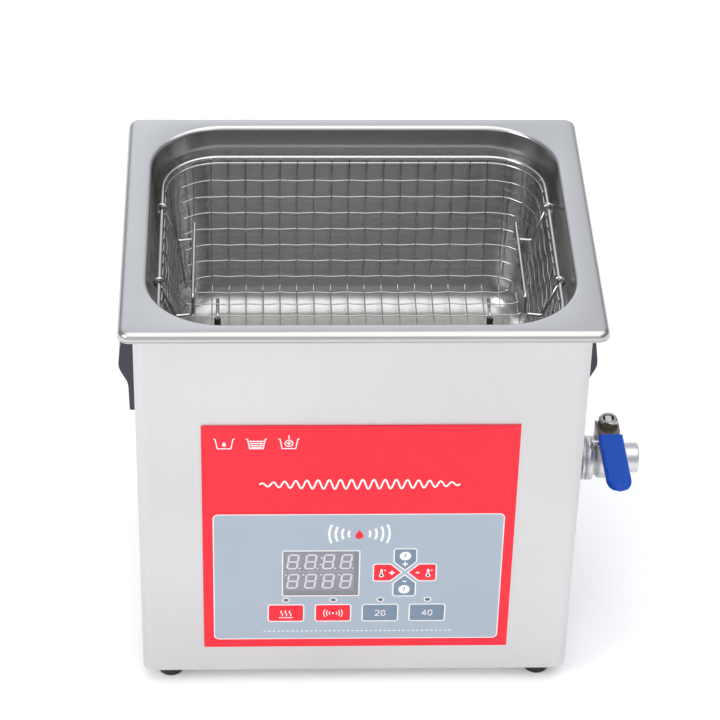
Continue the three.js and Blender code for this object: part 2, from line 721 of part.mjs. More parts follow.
function makeFanFrame() {
  const half = FAN_SIZE / 2;
  const frame = box(FAN_X - half, FAN_X + half, fanFront, fanBack, FAN_Z - half, FAN_Z + half);
  const duct = rod('y', half - 2, fanFront + 2, fanBack + 1, [FAN_X, FAN_Z], 32);
  const hub = rod('y', 15, fanFront, fanFront + 3, [FAN_X, FAN_Z], 16);
  const inlet = rod('y', half - 3, fanFront - 1, fanFront + 4, [FAN_X, FAN_Z], 32);
  const arms = [0, 1].map((i) => box(-half + 1, half - 1, fanFront, fanFront + 2.5, -2, 2)
    .rotateY(Math.PI / 4 + i * Math.PI / 2)
    .translate(FAN_X, 0, FAN_Z));
  const axle = rod('y', 1.5, fanFront + 1, fanFront + 12, [FAN_X, FAN_Z], 10);
  return join(cut(frame, duct, inlet), hub, ...arms, axle);
}

function makeRotor() {
  const from = fanFront + 3.6;
  const to = fanBack - 2;
  const hub = rod('y', 15, from, to, [0, 0], 20);
  const blades = [];
  for (let i = 0; i < 7; i += 1) {
    const blade = box(13, 36, -0.7, 0.7, -8, 8).rotateX(Math.PI / 5);
    blades.push(blade.translate(0, (from + to) / 2, 0).rotateY(i / 7 * Math.PI * 2));
  }
  return cut(join(hub, ...blades), rod('y', 1.8, from - 1, from + 11, [0, 0], 10));
}

function makeFanGuard() {
  const y0 = CASE_HALF_Y + GAP;
  const y1 = y0 + 2;
  const hoops = [10, 19, 28, 37].map((r) => cut(
    rod('y', r + 0.9, y0, y1, [0, 0], 18), rod('y', r - 0.9, y0 - 1, y1 + 1, [0, 0], 18)));
  const bars = [0, 1].map((i) => box(-51, 51, y0, y0 + 1.6, -0.9, 0.9)
    .rotateY(Math.PI / 4 + i * Math.PI / 2));
  return join(...hoops, ...bars).translate(FAN_X, 0, FAN_Z);
}

// Carrying handle, drawn on the right: a hood over a pocket that opens downwards and outwards.
function makeHandle() {
  const x0 = CASE_HALF_X + 0.2;
  const profile = new THREE.Shape();
  profile.moveTo(x0, -HANDLE_TOP);
  profile.lineTo(x0 + 8.6, -HANDLE_TOP);
  profile.lineTo(x0 + 12.9, -77.5);
  profile.quadraticCurveTo(x0 + 13.4, -82.6, x0 + 11.6, -86.2);
  profile.lineTo(x0 + 8.4, -93);
  profile.quadraticCurveTo(x0 + 6.8, -96, x0 + 6.6, -100.5);
  profile.lineTo(x0 + 6.2, -HANDLE_BOTTOM);
  profile.lineTo(x0, -HANDLE_BOTTOM);
  profile.closePath();
  const across = { bevelEnabled: false, curveSegments: 5 };
  const stand = (shape, half) => new THREE.ExtrudeGeometry(shape, { ...across, depth: 2 * half })
    .rotateX(Math.PI / 2)
    .translate(0, half, RIM_TOP);
  const inner = HANDLE_HALF_Y - HANDLE_END_WALL;
  const hood = stand(profile, HANDLE_HALF_Y);
  const tub = box(x0 - HANDLE_POCKET_DEPTH, x0 + 1, -inner - 2, inner + 2,
    RIM_TOP - HANDLE_BOTTOM + 4, RIM_TOP - HANDLE_TOP - 3.5);
  const pocket = new THREE.Shape();
  pocket.moveTo(x0 - HANDLE_POCKET_DEPTH + 2, -HANDLE_TOP - 6);
  pocket.lineTo(x0 + 6.6, -HANDLE_TOP - 6);
  pocket.lineTo(x0 + 10.2, -76);
  pocket.lineTo(x0 + 10.2, -82.5);
  pocket.lineTo(x0 + 20, -85.5);
  pocket.lineTo(x0 + 20, -HANDLE_BOTTOM + 6.5);
  pocket.lineTo(x0 - HANDLE_POCKET_DEPTH + 2, -HANDLE_BOTTOM + 6.5);
  pocket.closePath();
  return cut(join(hood, tub), stand(pocket, inner));
}

// Basket: thin panels for the woven wire, a rim wire, two swinging bails and two foot wires.
const basketFloor = RIM_TOP - BASKET_FLOOR_DEPTH;
const basketTop = RIM_TOP - BASKET_RIM_DEPTH + 1;
const panelTopX = BASKET_RIM_X - BASKET_RIM_WIRE / 2 - GAP;
const panelTopY = BASKET_RIM_Y - BASKET_RIM_WIRE / 2 - GAP;

// The whole woven shell, from which the flat floor and the four standing panels are taken.
function makeBasketShell() {
  const corner = BASKET_RIM_CORNER - BASKET_RIM_WIRE / 2 - GAP;
  const skin = (t) => [
    [BASKET_FLOOR_X - 8 - t, BASKET_FLOOR_Y - 8 - t, 22, basketFloor + t],
    [BASKET_FLOOR_X - t, BASKET_FLOOR_Y - t, 30 - t, basketFloor + 8],
    [panelTopX - t, panelTopY - t, corner - t, basketTop],
  ];
  return loft([...skin(0), ...skin(BASKET_SKIN).reverse()].map(level));
}

function makeBasketFloor(shell) {
  return keep(shell, box(-150, 150, -150, 150, basketFloor - 1, basketFloor + BASKET_SKIN + 0.1));
}

// Front and back panels end where the rim's corners begin to turn.
function makeBasketFace(shell, side) {
  const y = [2 * side, 150 * side].sort((p, q) => p - q);
  return keep(shell, box(-BASKET_FACE_HALF, BASKET_FACE_HALF, ...y, basketFloor + 1, basketTop + 1));
}

// Side panels are notched where the bails' eyes reach round the rim.
function makeBasketSide(shell, side) {
  const x = [2 * side, 150 * side].sort((p, q) => p - q);
  const panel = keep(shell, box(...x, -BASKET_SIDE_HALF, BASKET_SIDE_HALF,
    basketFloor + 1, basketTop + 1));
  const notches = [-BAIL_HALF_Y, BAIL_HALF_Y].map((y) => box(side * panelTopX - 6,
    side * panelTopX + 6, y - BAIL_NOTCH, y + BAIL_NOTCH, basketTop - 18, basketTop + 5));
  return cut(panel, ...notches);
}

function makeBasketRim() {
  const r = BASKET_RIM_WIRE / 2;
  const rings = [];
  for (let i = 0; i < 8; i += 1) {
    const angle = i / 8 * Math.PI * 2;
    const out = r * Math.cos(angle);
    rings.push(level([BASKET_RIM_X + out, BASKET_RIM_Y + out, BASKET_RIM_CORNER + out,
      RIM_TOP - BASKET_RIM_DEPTH + r * Math.sin(angle)]));
  }
  return loft(rings, true);
}

// Bail, drawn on the left: an eye round the rim at each end, a leg down and inwards, and a grip.
function makeBail() {
  const rimZ = RIM_TOP - BASKET_RIM_DEPTH;
  const half = BAIL_HALF_Y;
  const leg = (y) => {
    const eye = [];
    for (let i = 0; i <= 9; i += 1) {
      const angle = THREE.MathUtils.degToRad(300 - i * 32);
      eye.push(vec(-BASKET_RIM_X + BAIL_EYE_R * Math.cos(angle), y - Math.sign(y) * 0.28 * i,
        rimZ + BAIL_EYE_R * Math.sin(angle)));
    }
    return eye.reverse();
  };
  const corner = (sign) => [vec(-126.5, sign * half, rimZ - 28.5), vec(-114, sign * half, rimZ - 27),
    vec(-114, sign * half, rimZ - 11.5)];
  const back = leg(half);
  const front = leg(-half);
  const route = [back[back.length - 1], ...corner(1), ...corner(-1).reverse(), front[front.length - 1]];
  const middle = bend(route, 4, 3).slice(1, -1);
  return wire([...back, ...middle, ...front.reverse()], BAIL_WIRE / 2);
}

// A basket foot: a pin that lies under the floor wires and bends down into its tip; drawn at the
// back, where the lying end points backwards.
function makeBasketFoot() {
  const top = basketFloor - BASKET_FOOT_WIRE / 2 - GAP;
  const y = BASKET_FOOT_Y;
  return wire(bend([vec(0, BASKET_FOOT_REACH, top), vec(0, y, top), vec(0, y, floorTop + 3.4)], 3, 4),
    BASKET_FOOT_WIRE / 2, 8);
}

function makeBasketTip() {
  const r = BASKET_TIP_R;
  const bore = BASKET_FOOT_WIRE / 2 + GAP;
  const top = floorTop + GAP + BASKET_TIP_H;
  return turned([[0, floorTop + GAP], [r - 0.5, floorTop + GAP], [r, floorTop + 0.9],
    [r, top], [bore, top], [bore, floorTop + 3], [0, floorTop + 3]], 12);
}

// ---------- assembly ----------
add('tank', makeTank(), tankSteel);
add('casing', makeCasing(), caseSteel);
add('base_plate', makeBasePlate(), caseSteel);

for (const [side, x] of [['left', -1], ['right', 1]]) {
  for (const [end, y] of [['front', -1], ['back', 1]]) {
    const foot = add(`foot_${end}_${side}`, makeFoot(), rubber);
    foot.position.set(x * FOOT_X, y * FOOT_Y, 0);
    const tip = add(`basket_tip_${end}_${side}`, makeBasketTip(), rubber);
    const footX = x * BASKET_FOOT_X + BASKET_FOOT_SHIFT;
    tip.position.set(footX, y * BASKET_FOOT_Y, 0);
    const pin = makeBasketFoot().scale(1, y, 1);
    add(`basket_foot_${end}_${side}`, pin, wireSteel).position.x = footX;
    const transducer = add(`transducer_${end}_${side}`, makeTransducer(), aluminium);
    transducer.position.set(x * TRANSDUCER_X, y * TRANSDUCER_Y, 0);
  }
}

add('control_label', makeLabel(), labelRed);
keys.forEach((key) => add(key.name, makeKey(key), key.colour));
add('control_board', makeControlBoard(), boardGreen);
add('display_module', makeDisplay(), displayGrey);
add('generator_board', makeGeneratorBoard(), boardGreen);
add('heatsink', makeHeatsink(), aluminium);
add('heater_pad', box(-30, 30, -75, 75, floorTop - SHEET - 2.2, floorTop - SHEET - GAP), heaterOrange);

add('drain_fitting', makeDrainFitting(), castSteel);
add('drain_elbow', makeDrainElbow(), castSteel);
add('valve_washer', ring(17, DRAIN_R + GAP, CASE_HALF_X + 0.2, CASE_HALF_X + 2.2), rubber);
add('valve_lock_nut', makeLockNut(), castSteel);
add('valve_body', makeValveBody(), valveSteel);
add('packing_nut', makePackingNut(), leverSteel).position.set(STEM_X, 0, valveZ);
const lever = new THREE.Group();
lever.position.set(STEM_X, 0, valveZ);
lever.rotation.z = LEVER_REST_TURN;
body.add(lever);
add('valve_ball', makeBall(), valveSteel, lever);
add('valve_stem', makeStem(), castSteel, lever);
add('valve_lever', makeLever(), leverSteel, lever);
add('lever_sleeve', makeSleeve(), sleeveBlue, lever);
add('lever_nut', makeLeverNut(), leverSteel, lever);

add('power_inlet', makeInlet(), blackPlastic);
add('switch_housing', makeSwitchHousing(), blackPlastic);
const rocker = add('power_rocker', makeRocker(), redRocker);
rocker.position.set(SOCKET_X, CASE_HALF_Y + 0.6, SWITCH_Z);
rocker.rotation.x = ROCKER_TILT;
add('fan_frame', makeFanFrame(), blackPlastic);
add('fan_rotor', makeRotor(), blackPlastic).position.set(FAN_X, 0, FAN_Z);
add('fan_guard', makeFanGuard(), steel(0xb9bcc0, 0.3));

add('handle_right', makeHandle(), handlePlastic);
add('handle_left', makeHandle().scale(-1, 1, 1), handlePlastic);
const basketShell = makeBasketShell();
add('basket_floor', makeBasketFloor(basketShell), wireSteel);
for (const [end, y] of [['front', -1], ['back', 1]]) {
  add(`basket_side_${end}`, makeBasketFace(basketShell, y), wireSteel);
}
for (const [side, x] of [['left', -1], ['right', 1]]) {
  add(`basket_side_${side}`, makeBasketSide(basketShell, x), wireSteel);
}
add('basket_rim', makeBasketRim(), wireSteel);
add('basket_handle_left', makeBail(), wireSteel);
add('basket_handle_right', makeBail().scale(-1, 1, 1), wireSteel);

export default machine;
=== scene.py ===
import math

import bmesh
import bpy
from mathutils import Matrix, Vector


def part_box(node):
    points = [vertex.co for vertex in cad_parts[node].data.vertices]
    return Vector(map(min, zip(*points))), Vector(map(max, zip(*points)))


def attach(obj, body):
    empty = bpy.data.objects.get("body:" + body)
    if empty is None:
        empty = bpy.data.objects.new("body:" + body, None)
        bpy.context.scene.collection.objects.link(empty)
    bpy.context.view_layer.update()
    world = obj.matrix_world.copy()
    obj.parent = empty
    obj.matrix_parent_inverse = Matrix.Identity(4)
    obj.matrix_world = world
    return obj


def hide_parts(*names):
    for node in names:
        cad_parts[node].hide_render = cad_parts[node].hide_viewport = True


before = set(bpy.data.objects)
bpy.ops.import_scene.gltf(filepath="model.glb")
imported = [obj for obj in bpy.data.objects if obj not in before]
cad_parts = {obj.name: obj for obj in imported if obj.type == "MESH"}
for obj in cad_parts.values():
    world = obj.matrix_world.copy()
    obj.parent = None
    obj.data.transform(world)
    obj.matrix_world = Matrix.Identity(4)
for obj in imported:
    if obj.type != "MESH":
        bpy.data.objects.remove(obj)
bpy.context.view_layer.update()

MM = 0.001
TANK_LOW, TANK_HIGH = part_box("tank")
ORIGIN = Vector(((TANK_LOW.x + TANK_HIGH.x) / 2, (TANK_LOW.y + TANK_HIGH.y) / 2, TANK_HIGH.z))
FLOOR_Z = -TANK_HIGH.z / MM
MACHINE = "machine"
BASKET = "basket"
LEVER = "valve_lever"
CORNERS = [f"{end}_{side}" for end in ("front", "back") for side in ("left", "right")]


def span(node):
    """A CAD node's box in the drawing's millimetres: two corners."""
    low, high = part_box(node)
    return (low - ORIGIN) / MM, (high - ORIGIN) / MM


def middle(node):
    low, high = span(node)
    return (low + high) / 2


# ---------- forms: lists of points and faces ----------
class Form:
    def __init__(self, points=(), faces=()):
        self.points = [Vector(p) for p in points]
        self.faces = [tuple(f) for f in faces]

    def add(self, other):
        first = len(self.points)
        self.points += other.points
        self.faces += [tuple(i + first for i in f) for f in other.faces]
        return self

    def mapped(self, change):
        return Form([change(p) for p in self.points], self.faces)

    def moved(self, x, y, z):
        return self.mapped(lambda p: p + Vector((x, y, z)))

    def turned(self, axis, degrees, about=(0, 0, 0)):
        turn = Matrix.Rotation(math.radians(degrees), 3, axis)
        centre = Vector(about)
        return self.mapped(lambda p: turn @ (p - centre) + centre)

    def mirrored(self):
        form = self.mapped(lambda p: Vector((-p.x, p.y, p.z)))
        form.faces = [tuple(reversed(f)) for f in form.faces]
        return form


def arc(radius, start, end, steps, x=0.0, y=0.0, stretch=1.0):
    """Points of an arc from one angle to another, in degrees, both ends included."""
    angles = [math.radians(start + (end - start) * i / steps) for i in range(steps + 1)]
    return [(x + radius * stretch * math.cos(a), y + radius * math.sin(a)) for a in angles]


def circle(radius, steps=32, x=0.0, y=0.0, stretch=1.0):
    return arc(radius, 0, 360, steps, x, y, stretch)[:-1]


def rounded(half_x, half_y, radius, steps=8):
    """Outline of a rectangle with round corners, anticlockwise."""
    points = []
    for corner in range(4):
        x = (half_x - radius) * (1 if corner in (0, 3) else -1)
        y = (half_y - radius) * (1 if corner < 2 else -1)
        points += arc(radius, corner * 90, corner * 90 + 90, steps, x, y)
    return points


def loft(rings, looped=False, capped=True):
    """Skin over rings of equal count; open ends are closed by one face each."""
    count = len(rings[0])
    points = [p for ring in rings for p in ring]
    faces = []
    for r in range(len(rings) if looped else len(rings) - 1):
        a, b = r * count, (r + 1) % len(rings) * count
        for i in range(count):
            j = (i + 1) % count
            faces.append((a + i, a + j, b + j, b + i))
    if capped and not looped:
        faces.append(tuple(reversed(range(count))))
        faces.append(tuple(range((len(rings) - 1) * count, len(rings) * count)))
    return Form(points, faces)


def level(half_x, half_y, radius, z, steps=16):
    return [Vector((x, y, z)) for x, y in rounded(half_x, half_y, radius, steps)]


def prism(outline, low, high):
    """A solid of one outline in XY, from one height to another."""
    return loft([[Vector((x, y, z)) for x, y in outline] for z in (low, high)])


def block(x0, x1, y0, y1, z0, z1):
    return prism([(x0, y0), (x1, y0), (x1, y1), (x0, y1)], z0, z1)


AXES = {
    "x": lambda a, b, t: Vector((t, a, b)),
    "y": lambda a, b, t: Vector((b, t, a)),
    "z": lambda a, b, t: Vector((a, b, t)),
}


def lathe(profile, axis="z", centre=(0, 0), steps=48, looped=False):
    """Solid of revolution from (radius, place on the axis) pairs."""
    put = AXES[axis]
    rings = []
    for radius, t in profile:
        rings.append([put(a, b, t) for a, b in circle(radius, steps)])
    return loft(rings, looped).mapped(lambda p: p + put(*centre, 0))


def rod(axis, radius, low, high, centre=(0, 0), steps=48):
    return lathe([(radius, low), (radius, high)], axis, centre, steps)


def hexagon(axis, flats, low, high, centre=(0, 0), ends=(True, True)):
    """A nut's body: a hexagonal bar, its corners cut back by a cone at each wanted end."""
    put = AXES[axis]
    steps = 12
    face_round, cone = flats * 0.485, flats * 0.06924
    beyond = flats / math.sqrt(3) - flats / 2
    rings = []
    for end, t in enumerate((low, high)):
        outer, inner = [], []
        for i in range(6 * steps):
            angle = (i / steps) * math.pi / 3
            reach = flats / 2 / math.cos((angle + math.pi / 6) % (math.pi / 3) - math.pi / 6)
            small = min(reach, face_round)
            inward = cone * (reach - small) / beyond * (1 - 2 * end) if ends[end] else 0
            outer.append(put(reach * math.cos(angle), reach * math.sin(angle), t + inward))
            inner.append(put(small * math.cos(angle), small * math.sin(angle), t))
        pair = [outer, inner] if ends[end] else [outer]
        rings += pair if end else pair[::-1]
    return loft(rings).mapped(lambda p: p + put(*centre, 0))


def tube(path, radius, sides=12, closed=False):
    """A round wire along a path, with domed ends."""
    count = len(path)
    frames = []
    across = None
    last = None
    for i, point in enumerate(path):
        before = path[i - 1] if closed or i else path[0]
        after = path[(i + 1) % count] if closed or i < count - 1 else path[-1]
        along = (after - before).normalized()
        if across is None:
            aside = Vector((0, 0, 1)) if abs(along.z) < 0.9 else Vector((1, 0, 0))
            across = along.cross(aside).normalized()
        else:
            across = last.rotation_difference(along) @ across
            across = (across - along * across.dot(along)).normalized()
        last = along
        frames.append((point, along, across, along.cross(across)))

    def ring(frame_at, ahead, size):
        point, along, across, up = frame_at
        return [point + along * ahead + across * a + up * b for a, b in circle(size, sides)]

    made = [ring(f, 0, radius) for f in frames]
    if closed:
        return loft(made, looped=True)
    domes = [[ring(frames[end], way * radius * math.sin(f), radius * math.cos(f)) for f in (0.6, 1.1, 1.45)]
             for end, way in ((0, -1), (-1, 1))]
    return loft(domes[0][::-1] + made + domes[1])


def curve(start, pull, end, steps=8):
    """Points of a quadratic curve from one vector to another, pulled towards a third."""
    return [start * (1 - t) ** 2 + pull * 2 * t * (1 - t) + end * t * t
            for t in (k / steps for k in range(steps + 1))]


def bend(points, radius, steps=8):
    """A polyline with its corners rounded."""
    path = [Vector(points[0])]
    for before, here, after in zip(points, points[1:], points[2:]):
        here = Vector(here)
        back, on = Vector(before) - here, Vector(after) - here
        reach = min(radius / math.tan(back.angle(on) / 2), back.length * 0.49, on.length * 0.49)
        path += curve(here + back.normalized() * reach, here, here + on.normalized() * reach, steps)
    return path + [Vector(points[-1])]


def filled(loops, thickness):
    """A flat sheet of one or more closed outlines in XY; an outline inside another is a hole."""
    curve = bpy.data.curves.new("outline", "CURVE")
    curve.dimensions = "2D"
    curve.fill_mode = "BOTH"
    curve.extrude = thickness / 2
    for loop in loops:
        spline = curve.splines.new("POLY")
        spline.points.add(len(loop) - 1)
        for point, (x, y) in zip(spline.points, loop):
            point.co = (x, y, 0, 1)
        spline.use_cyclic_u = True
    holder = bpy.data.objects.new("outline", curve)
    bpy.context.scene.collection.objects.link(holder)
    bpy.context.view_layer.update()
    mesh = bpy.data.meshes.new_from_object(holder.evaluated_get(bpy.context.evaluated_depsgraph_get()))
    bm = bmesh.new()
    bm.from_mesh(mesh)
    bmesh.ops.remove_doubles(bm, verts=bm.verts, dist=1e-5)
    bmesh.ops.recalc_face_normals(bm, faces=bm.faces)
    bm.verts.index_update()
    form = Form([v.co + Vector((0, 0, thickness / 2)) for v in bm.verts],
                [tuple(v.index for v in f.verts) for f in bm.faces])
    bm.free()
    bpy.data.objects.remove(holder)
    bpy.data.curves.remove(curve)
    bpy.data.meshes.remove(mesh)
    return form


def stroke(points, width, closed=False):
    """Outlines of a line of one width along 2-D points."""
    pts = [Vector(p) for p in points]
    count = len(pts)
    left, right = [], []
    for i, p in enumerate(pts):
        near = [pts[i - 1]] if closed or i else []
        near.append(p)
        if closed or i < count - 1:
            near.append(pts[(i + 1) % count])
        directions = [(b - a).normalized() for a, b in zip(near, near[1:])]
        along = sum(directions, Vector((0, 0))).normalized()
        normal = Vector((-along.y, along.x))
        lean = max(normal.dot(Vector((-directions[0].y, directions[0].x))), 0.4)
        left.append(tuple(p + normal * width / 2 / lean))
        right.append(tuple(p - normal * width / 2 / lean))
    return [left, right] if closed else [left + right[::-1]]


# ---------- pieces ----------
def place(point):
    return ORIGIN + Vector(point) * MM


def applied(obj):
    """Replaces an object's mesh by what its modifiers make of it."""
    bpy.context.view_layer.update()
    mesh = bpy.data.meshes.new_from_object(obj.evaluated_get(bpy.context.evaluated_depsgraph_get()))
    mesh.name = obj.name
    old = obj.data
    obj.modifiers.clear()
    obj.data = mesh
    if old.users == 0:
        bpy.data.meshes.remove(old)
    return obj


def solid(name, form):
    mesh = bpy.data.meshes.new(name)
    mesh.from_pydata([place(p) for p in form.points], [], form.faces)
    obj = bpy.data.objects.new(name, mesh)
    bpy.context.scene.collection.objects.link(obj)
    return obj


def cut(obj, *tools, kind="DIFFERENCE"):
    """Takes closed forms out of an object, or joins them to it."""
    for tool in tools:
        cutter = solid("cutter", tool)
        step = obj.modifiers.new("cut", "BOOLEAN")
        step.operation = kind
        step.solver = "EXACT"
        step.object = cutter
        applied(obj)
        mesh = cutter.data
        bpy.data.objects.remove(cutter)
        bpy.data.meshes.remove(mesh)
    return obj


def soften(obj, width, segments):
    """Rounds an object's sharp edges."""
    step = obj.modifiers.new("soften", "BEVEL")
    step.width = width * MM
    step.segments = segments
    step.limit_method = "ANGLE"
    step.angle_limit = math.radians(30)
    step.harden_normals = True
    step.miter_outer = "MITER_ARC"
    return applied(obj)


def piece(name, form, material, body, node=None, edge=0.0, sharp=38, tools=(), segments=3):
    """A finished object: its form, cuts, rounded edges, shading, material and body."""
    obj = form if isinstance(form, bpy.types.Object) else solid(name, form)
    obj.data.materials.clear()
    obj.data.materials.append(material)
    cut(obj, *tools)
    obj.data.polygons.foreach_set("use_smooth", [True] * len(obj.data.polygons))
    obj.data.set_sharp_from_angle(angle=math.radians(sharp))
    if edge:
        soften(obj, edge, segments)
    obj.data.update()
    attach(obj, body)
    if node:
        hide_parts(node)
    return obj


def dressed(node, material, body=MACHINE, edge=0.3, sharp=32):
    """A finer copy of a CAD node: welded, its flat faces joined, its edges rounded."""
    bm = bmesh.new()
    bm.from_mesh(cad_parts[node].data)
    bmesh.ops.remove_doubles(bm, verts=bm.verts, dist=1e-6)
    bmesh.ops.dissolve_limit(bm, angle_limit=math.radians(1), verts=bm.verts, edges=bm.edges)
    mesh = bpy.data.meshes.new(node + "_fine")
    bm.to_mesh(mesh)
    bm.free()
    obj = bpy.data.objects.new(node + "_fine", mesh)
    bpy.context.scene.collection.objects.link(obj)
    return piece(obj.name, obj, material, body, node, edge, sharp, segments=2)


# ---------- materials ----------
class Nodes:
    """A small helper to build a node tree."""

    def __init__(self, tree, coords):
        self.tree = tree
        self.coords = tree.nodes.new("ShaderNodeTexCoord").outputs[coords]

    def add(self, kind, inputs, output, **values):
        """Adds a node and gives one of its outputs; its inputs are constants or other outputs."""
        made = self.tree.nodes.new(kind)
        for key, value in values.items():
            setattr(made, key, value)
        for socket, value in inputs.items():
            if isinstance(value, bpy.types.NodeSocket):
                self.tree.links.new(value, made.inputs[socket])
            else:
                made.inputs[socket].default_value = value
        return made.outputs[output]

    def noise(self, scale, detail, stretch=(1, 1, 1)):
        vector = self.add("ShaderNodeMapping", {"Vector": self.coords, "Scale": stretch}, "Vector")
        return self.add("ShaderNodeTexNoise", {"Vector": vector, "Scale": scale, "Detail": detail}, "Fac")

    def ramp(self, value, low, high, from_low=0.3, from_high=0.7):
        inputs = {"Value": value, "From Min": from_low, "From Max": from_high, "To Min": low, "To Max": high}
        return self.add("ShaderNodeMapRange", inputs, "Result")

    def blend(self, value, low, high):
        inputs = {"A": (*low, 1), "B": (*high, 1), "Factor": value}
        return self.add("ShaderNodeMix", inputs, "Result", data_type="RGBA")

    def math(self, kind, *values):
        return self.add("ShaderNodeMath", dict(enumerate(values)), "Value", operation=kind)

    def bump(self, height, distance, strength):
        inputs = {"Height": height, "Distance": distance, "Strength": strength}
        return self.add("ShaderNodeBump", inputs, "Normal")


class Surface(Nodes):
    """A material whose colour, roughness and bump come from nodes."""

    def __init__(self, name, **values):
        self.material = bpy.data.materials.new(name)
        self.material.use_nodes = True
        super().__init__(self.material.node_tree, "Object")
        self.shader = self.tree.nodes["Principled BSDF"]
        for key, value in values.items():
            self.shader.inputs[key.replace("_", " ")].default_value = value

    def drive(self, **outputs):
        for key, output in outputs.items():
            self.tree.links.new(output, self.shader.inputs[key.replace("_", " ")])
        return self.material

    def mottled(self, patch, color, dimmed):
        """A colour that varies softly, down to a part of itself."""
        return self.blend(self.ramp(patch, 0, 1), tuple(c * dimmed for c in color), color)

    def around(self, value, middle_at, vary):
        return self.ramp(value, middle_at - vary, middle_at + vary)


def steel(name, color, roughness, vary=0.06, brush=(900, 900, 900), depth=0.00001):
    """Bare metal: soft mottling, and brush lines whose noise is squeezed along the brush."""
    n = Surface(name, Metallic=1.0)
    grain = n.noise(1.0, 4.0, brush)
    return n.drive(Base_Color=n.mottled(n.noise(9.0, 2.0), color, 0.95),
                   Roughness=n.around(grain, roughness, vary), Normal=n.bump(grain, depth, 0.6))


def plastic(name, color, roughness, grain=1500.0, depth=0.00004, coat=0.0):
    """Moulded plastic or rubber: fine grain, slightly uneven colour and gloss."""
    n = Surface(name, Coat_Weight=coat, Coat_Roughness=0.12)
    return n.drive(Base_Color=n.mottled(n.noise(30.0, 3.0), color, 0.88),
                   Roughness=n.around(n.noise(140.0, 2.0), roughness, 0.05),
                   Normal=n.bump(n.noise(grain, 2.0), depth, 0.5))


def film(name, color, roughness=0.34, gloss=0.42):
    """Printed polyester film: a fine matte texture."""
    n = Surface(name, Specular_IOR_Level=gloss)
    return n.drive(Base_Color=n.mottled(n.noise(16.0, 3.0), color, 0.96),
                   Roughness=n.around(n.noise(300.0, 2.0), roughness, 0.04),
                   Normal=n.bump(n.noise(2600.0, 1.0), 0.00001, 0.5))


def embossed_steel():
    """Casing sheet: a linen emboss of fine crossed ridges over satin steel."""
    n = Surface("linen_steel", Metallic=1.0)
    x, y, z = (n.add("ShaderNodeSeparateXYZ", {"Vector": n.coords}, axis) for axis in "XYZ")
    around = n.math("ADD", x, y)
    wave = math.tau / (2.0 * MM)
    wobble = n.math("MULTIPLY", n.noise(420.0, 2.0), 2.2)
    ridges = [n.math("SINE", n.math("ADD", n.math("MULTIPLY", n.math(kind, around, z), wave), wobble))
              for kind in ("ADD", "SUBTRACT")]
    weave = n.math("MULTIPLY", *ridges)
    patch = n.ramp(n.noise(7.0, 2.0), 0, 1)
    return n.drive(Base_Color=n.blend(patch, (0.615, 0.615, 0.615), (0.66, 0.66, 0.66)),
                   Roughness=n.ramp(weave, 0.36, 0.48, -1, 1), Normal=n.bump(weave, 0.00011, 0.7))


TANK_STEEL = steel("satin_steel", (0.54, 0.535, 0.525), 0.25, 0.02, (2, 2, 700), 0.0000015)
CASE_STEEL = embossed_steel()
PLAIN_STEEL = steel("sheet_steel", (0.66, 0.66, 0.67), 0.30, 0.06)
WIRE_STEEL = steel("wire_steel", (0.56, 0.555, 0.55), 0.18, 0.05, (600, 600, 600), 0.000006)
CAST_STEEL = steel("turned_steel", (0.68, 0.68, 0.69), 0.24, 0.08)
VALVE_STEEL = steel("cast_steel", (0.64, 0.64, 0.65), 0.3, 0.03, (300, 300, 300), 0.000003)
LEVER_STEEL = steel("dull_steel", (0.20, 0.175, 0.15), 0.27, 0.04, (300, 300, 300), 0.000004)
NUT_STEEL = steel("nut_steel", (0.40, 0.38, 0.355), 0.2, 0.03, (300, 300, 300), 0.000004)
STEM_STEEL = steel("stem_steel", (0.62, 0.62, 0.63), 0.25, 0.06)
RUBBER = plastic("rubber", (0.012, 0.012, 0.014), 0.62)
HANDLE = plastic("handle_plastic", (0.032, 0.036, 0.052), 0.42, 900.0, 0.00008)
RED = film("film_red", (0.92, 0.006, 0.028))
KEY_RED = film("film_key_red", (0.90, 0.006, 0.028), 0.3)
PANEL = film("film_panel", (0.385, 0.45, 0.53))
KEY_GREY = film("film_key_grey", (0.185, 0.25, 0.34), 0.3)
WHITE = film("film_white", (0.90, 0.90, 0.90))
DARK = film("film_dark", (0.05, 0.045, 0.05))
WINDOW = film("window_grey", (0.215, 0.24, 0.265), 0.2)
DIGIT_FACE = film("digit_face", (0.27, 0.27, 0.31), 0.2)
SEGMENT = film("segment_grey", (0.66, 0.66, 0.70), 0.25)
DIVIDER = film("divider_grey", (0.38, 0.38, 0.42), 0.25)
LAMP = plastic("lamp_lens", (0.10, 0.15, 0.15), 0.15, coat=0.6)
SLEEVE = film("sleeve_blue", (0.0, 0.075, 0.5), 0.28, gloss=0.2)
BLACK = plastic("black_plastic", (0.014, 0.014, 0.016), 0.38)
ROCKER = plastic("rocker_red", (0.55, 0.012, 0.018), 0.2, coat=0.5)
BOARD = plastic("board_green", (0.02, 0.16, 0.06), 0.3, coat=0.4)
HEATER = plastic("heater_mat", (0.5, 0.13, 0.03), 0.6)
ALUMINIUM = steel("aluminium", (0.7, 0.71, 0.73), 0.34, 0.06)
GUARD = steel("guard_wire", (0.68, 0.69, 0.71), 0.2, 0.05)


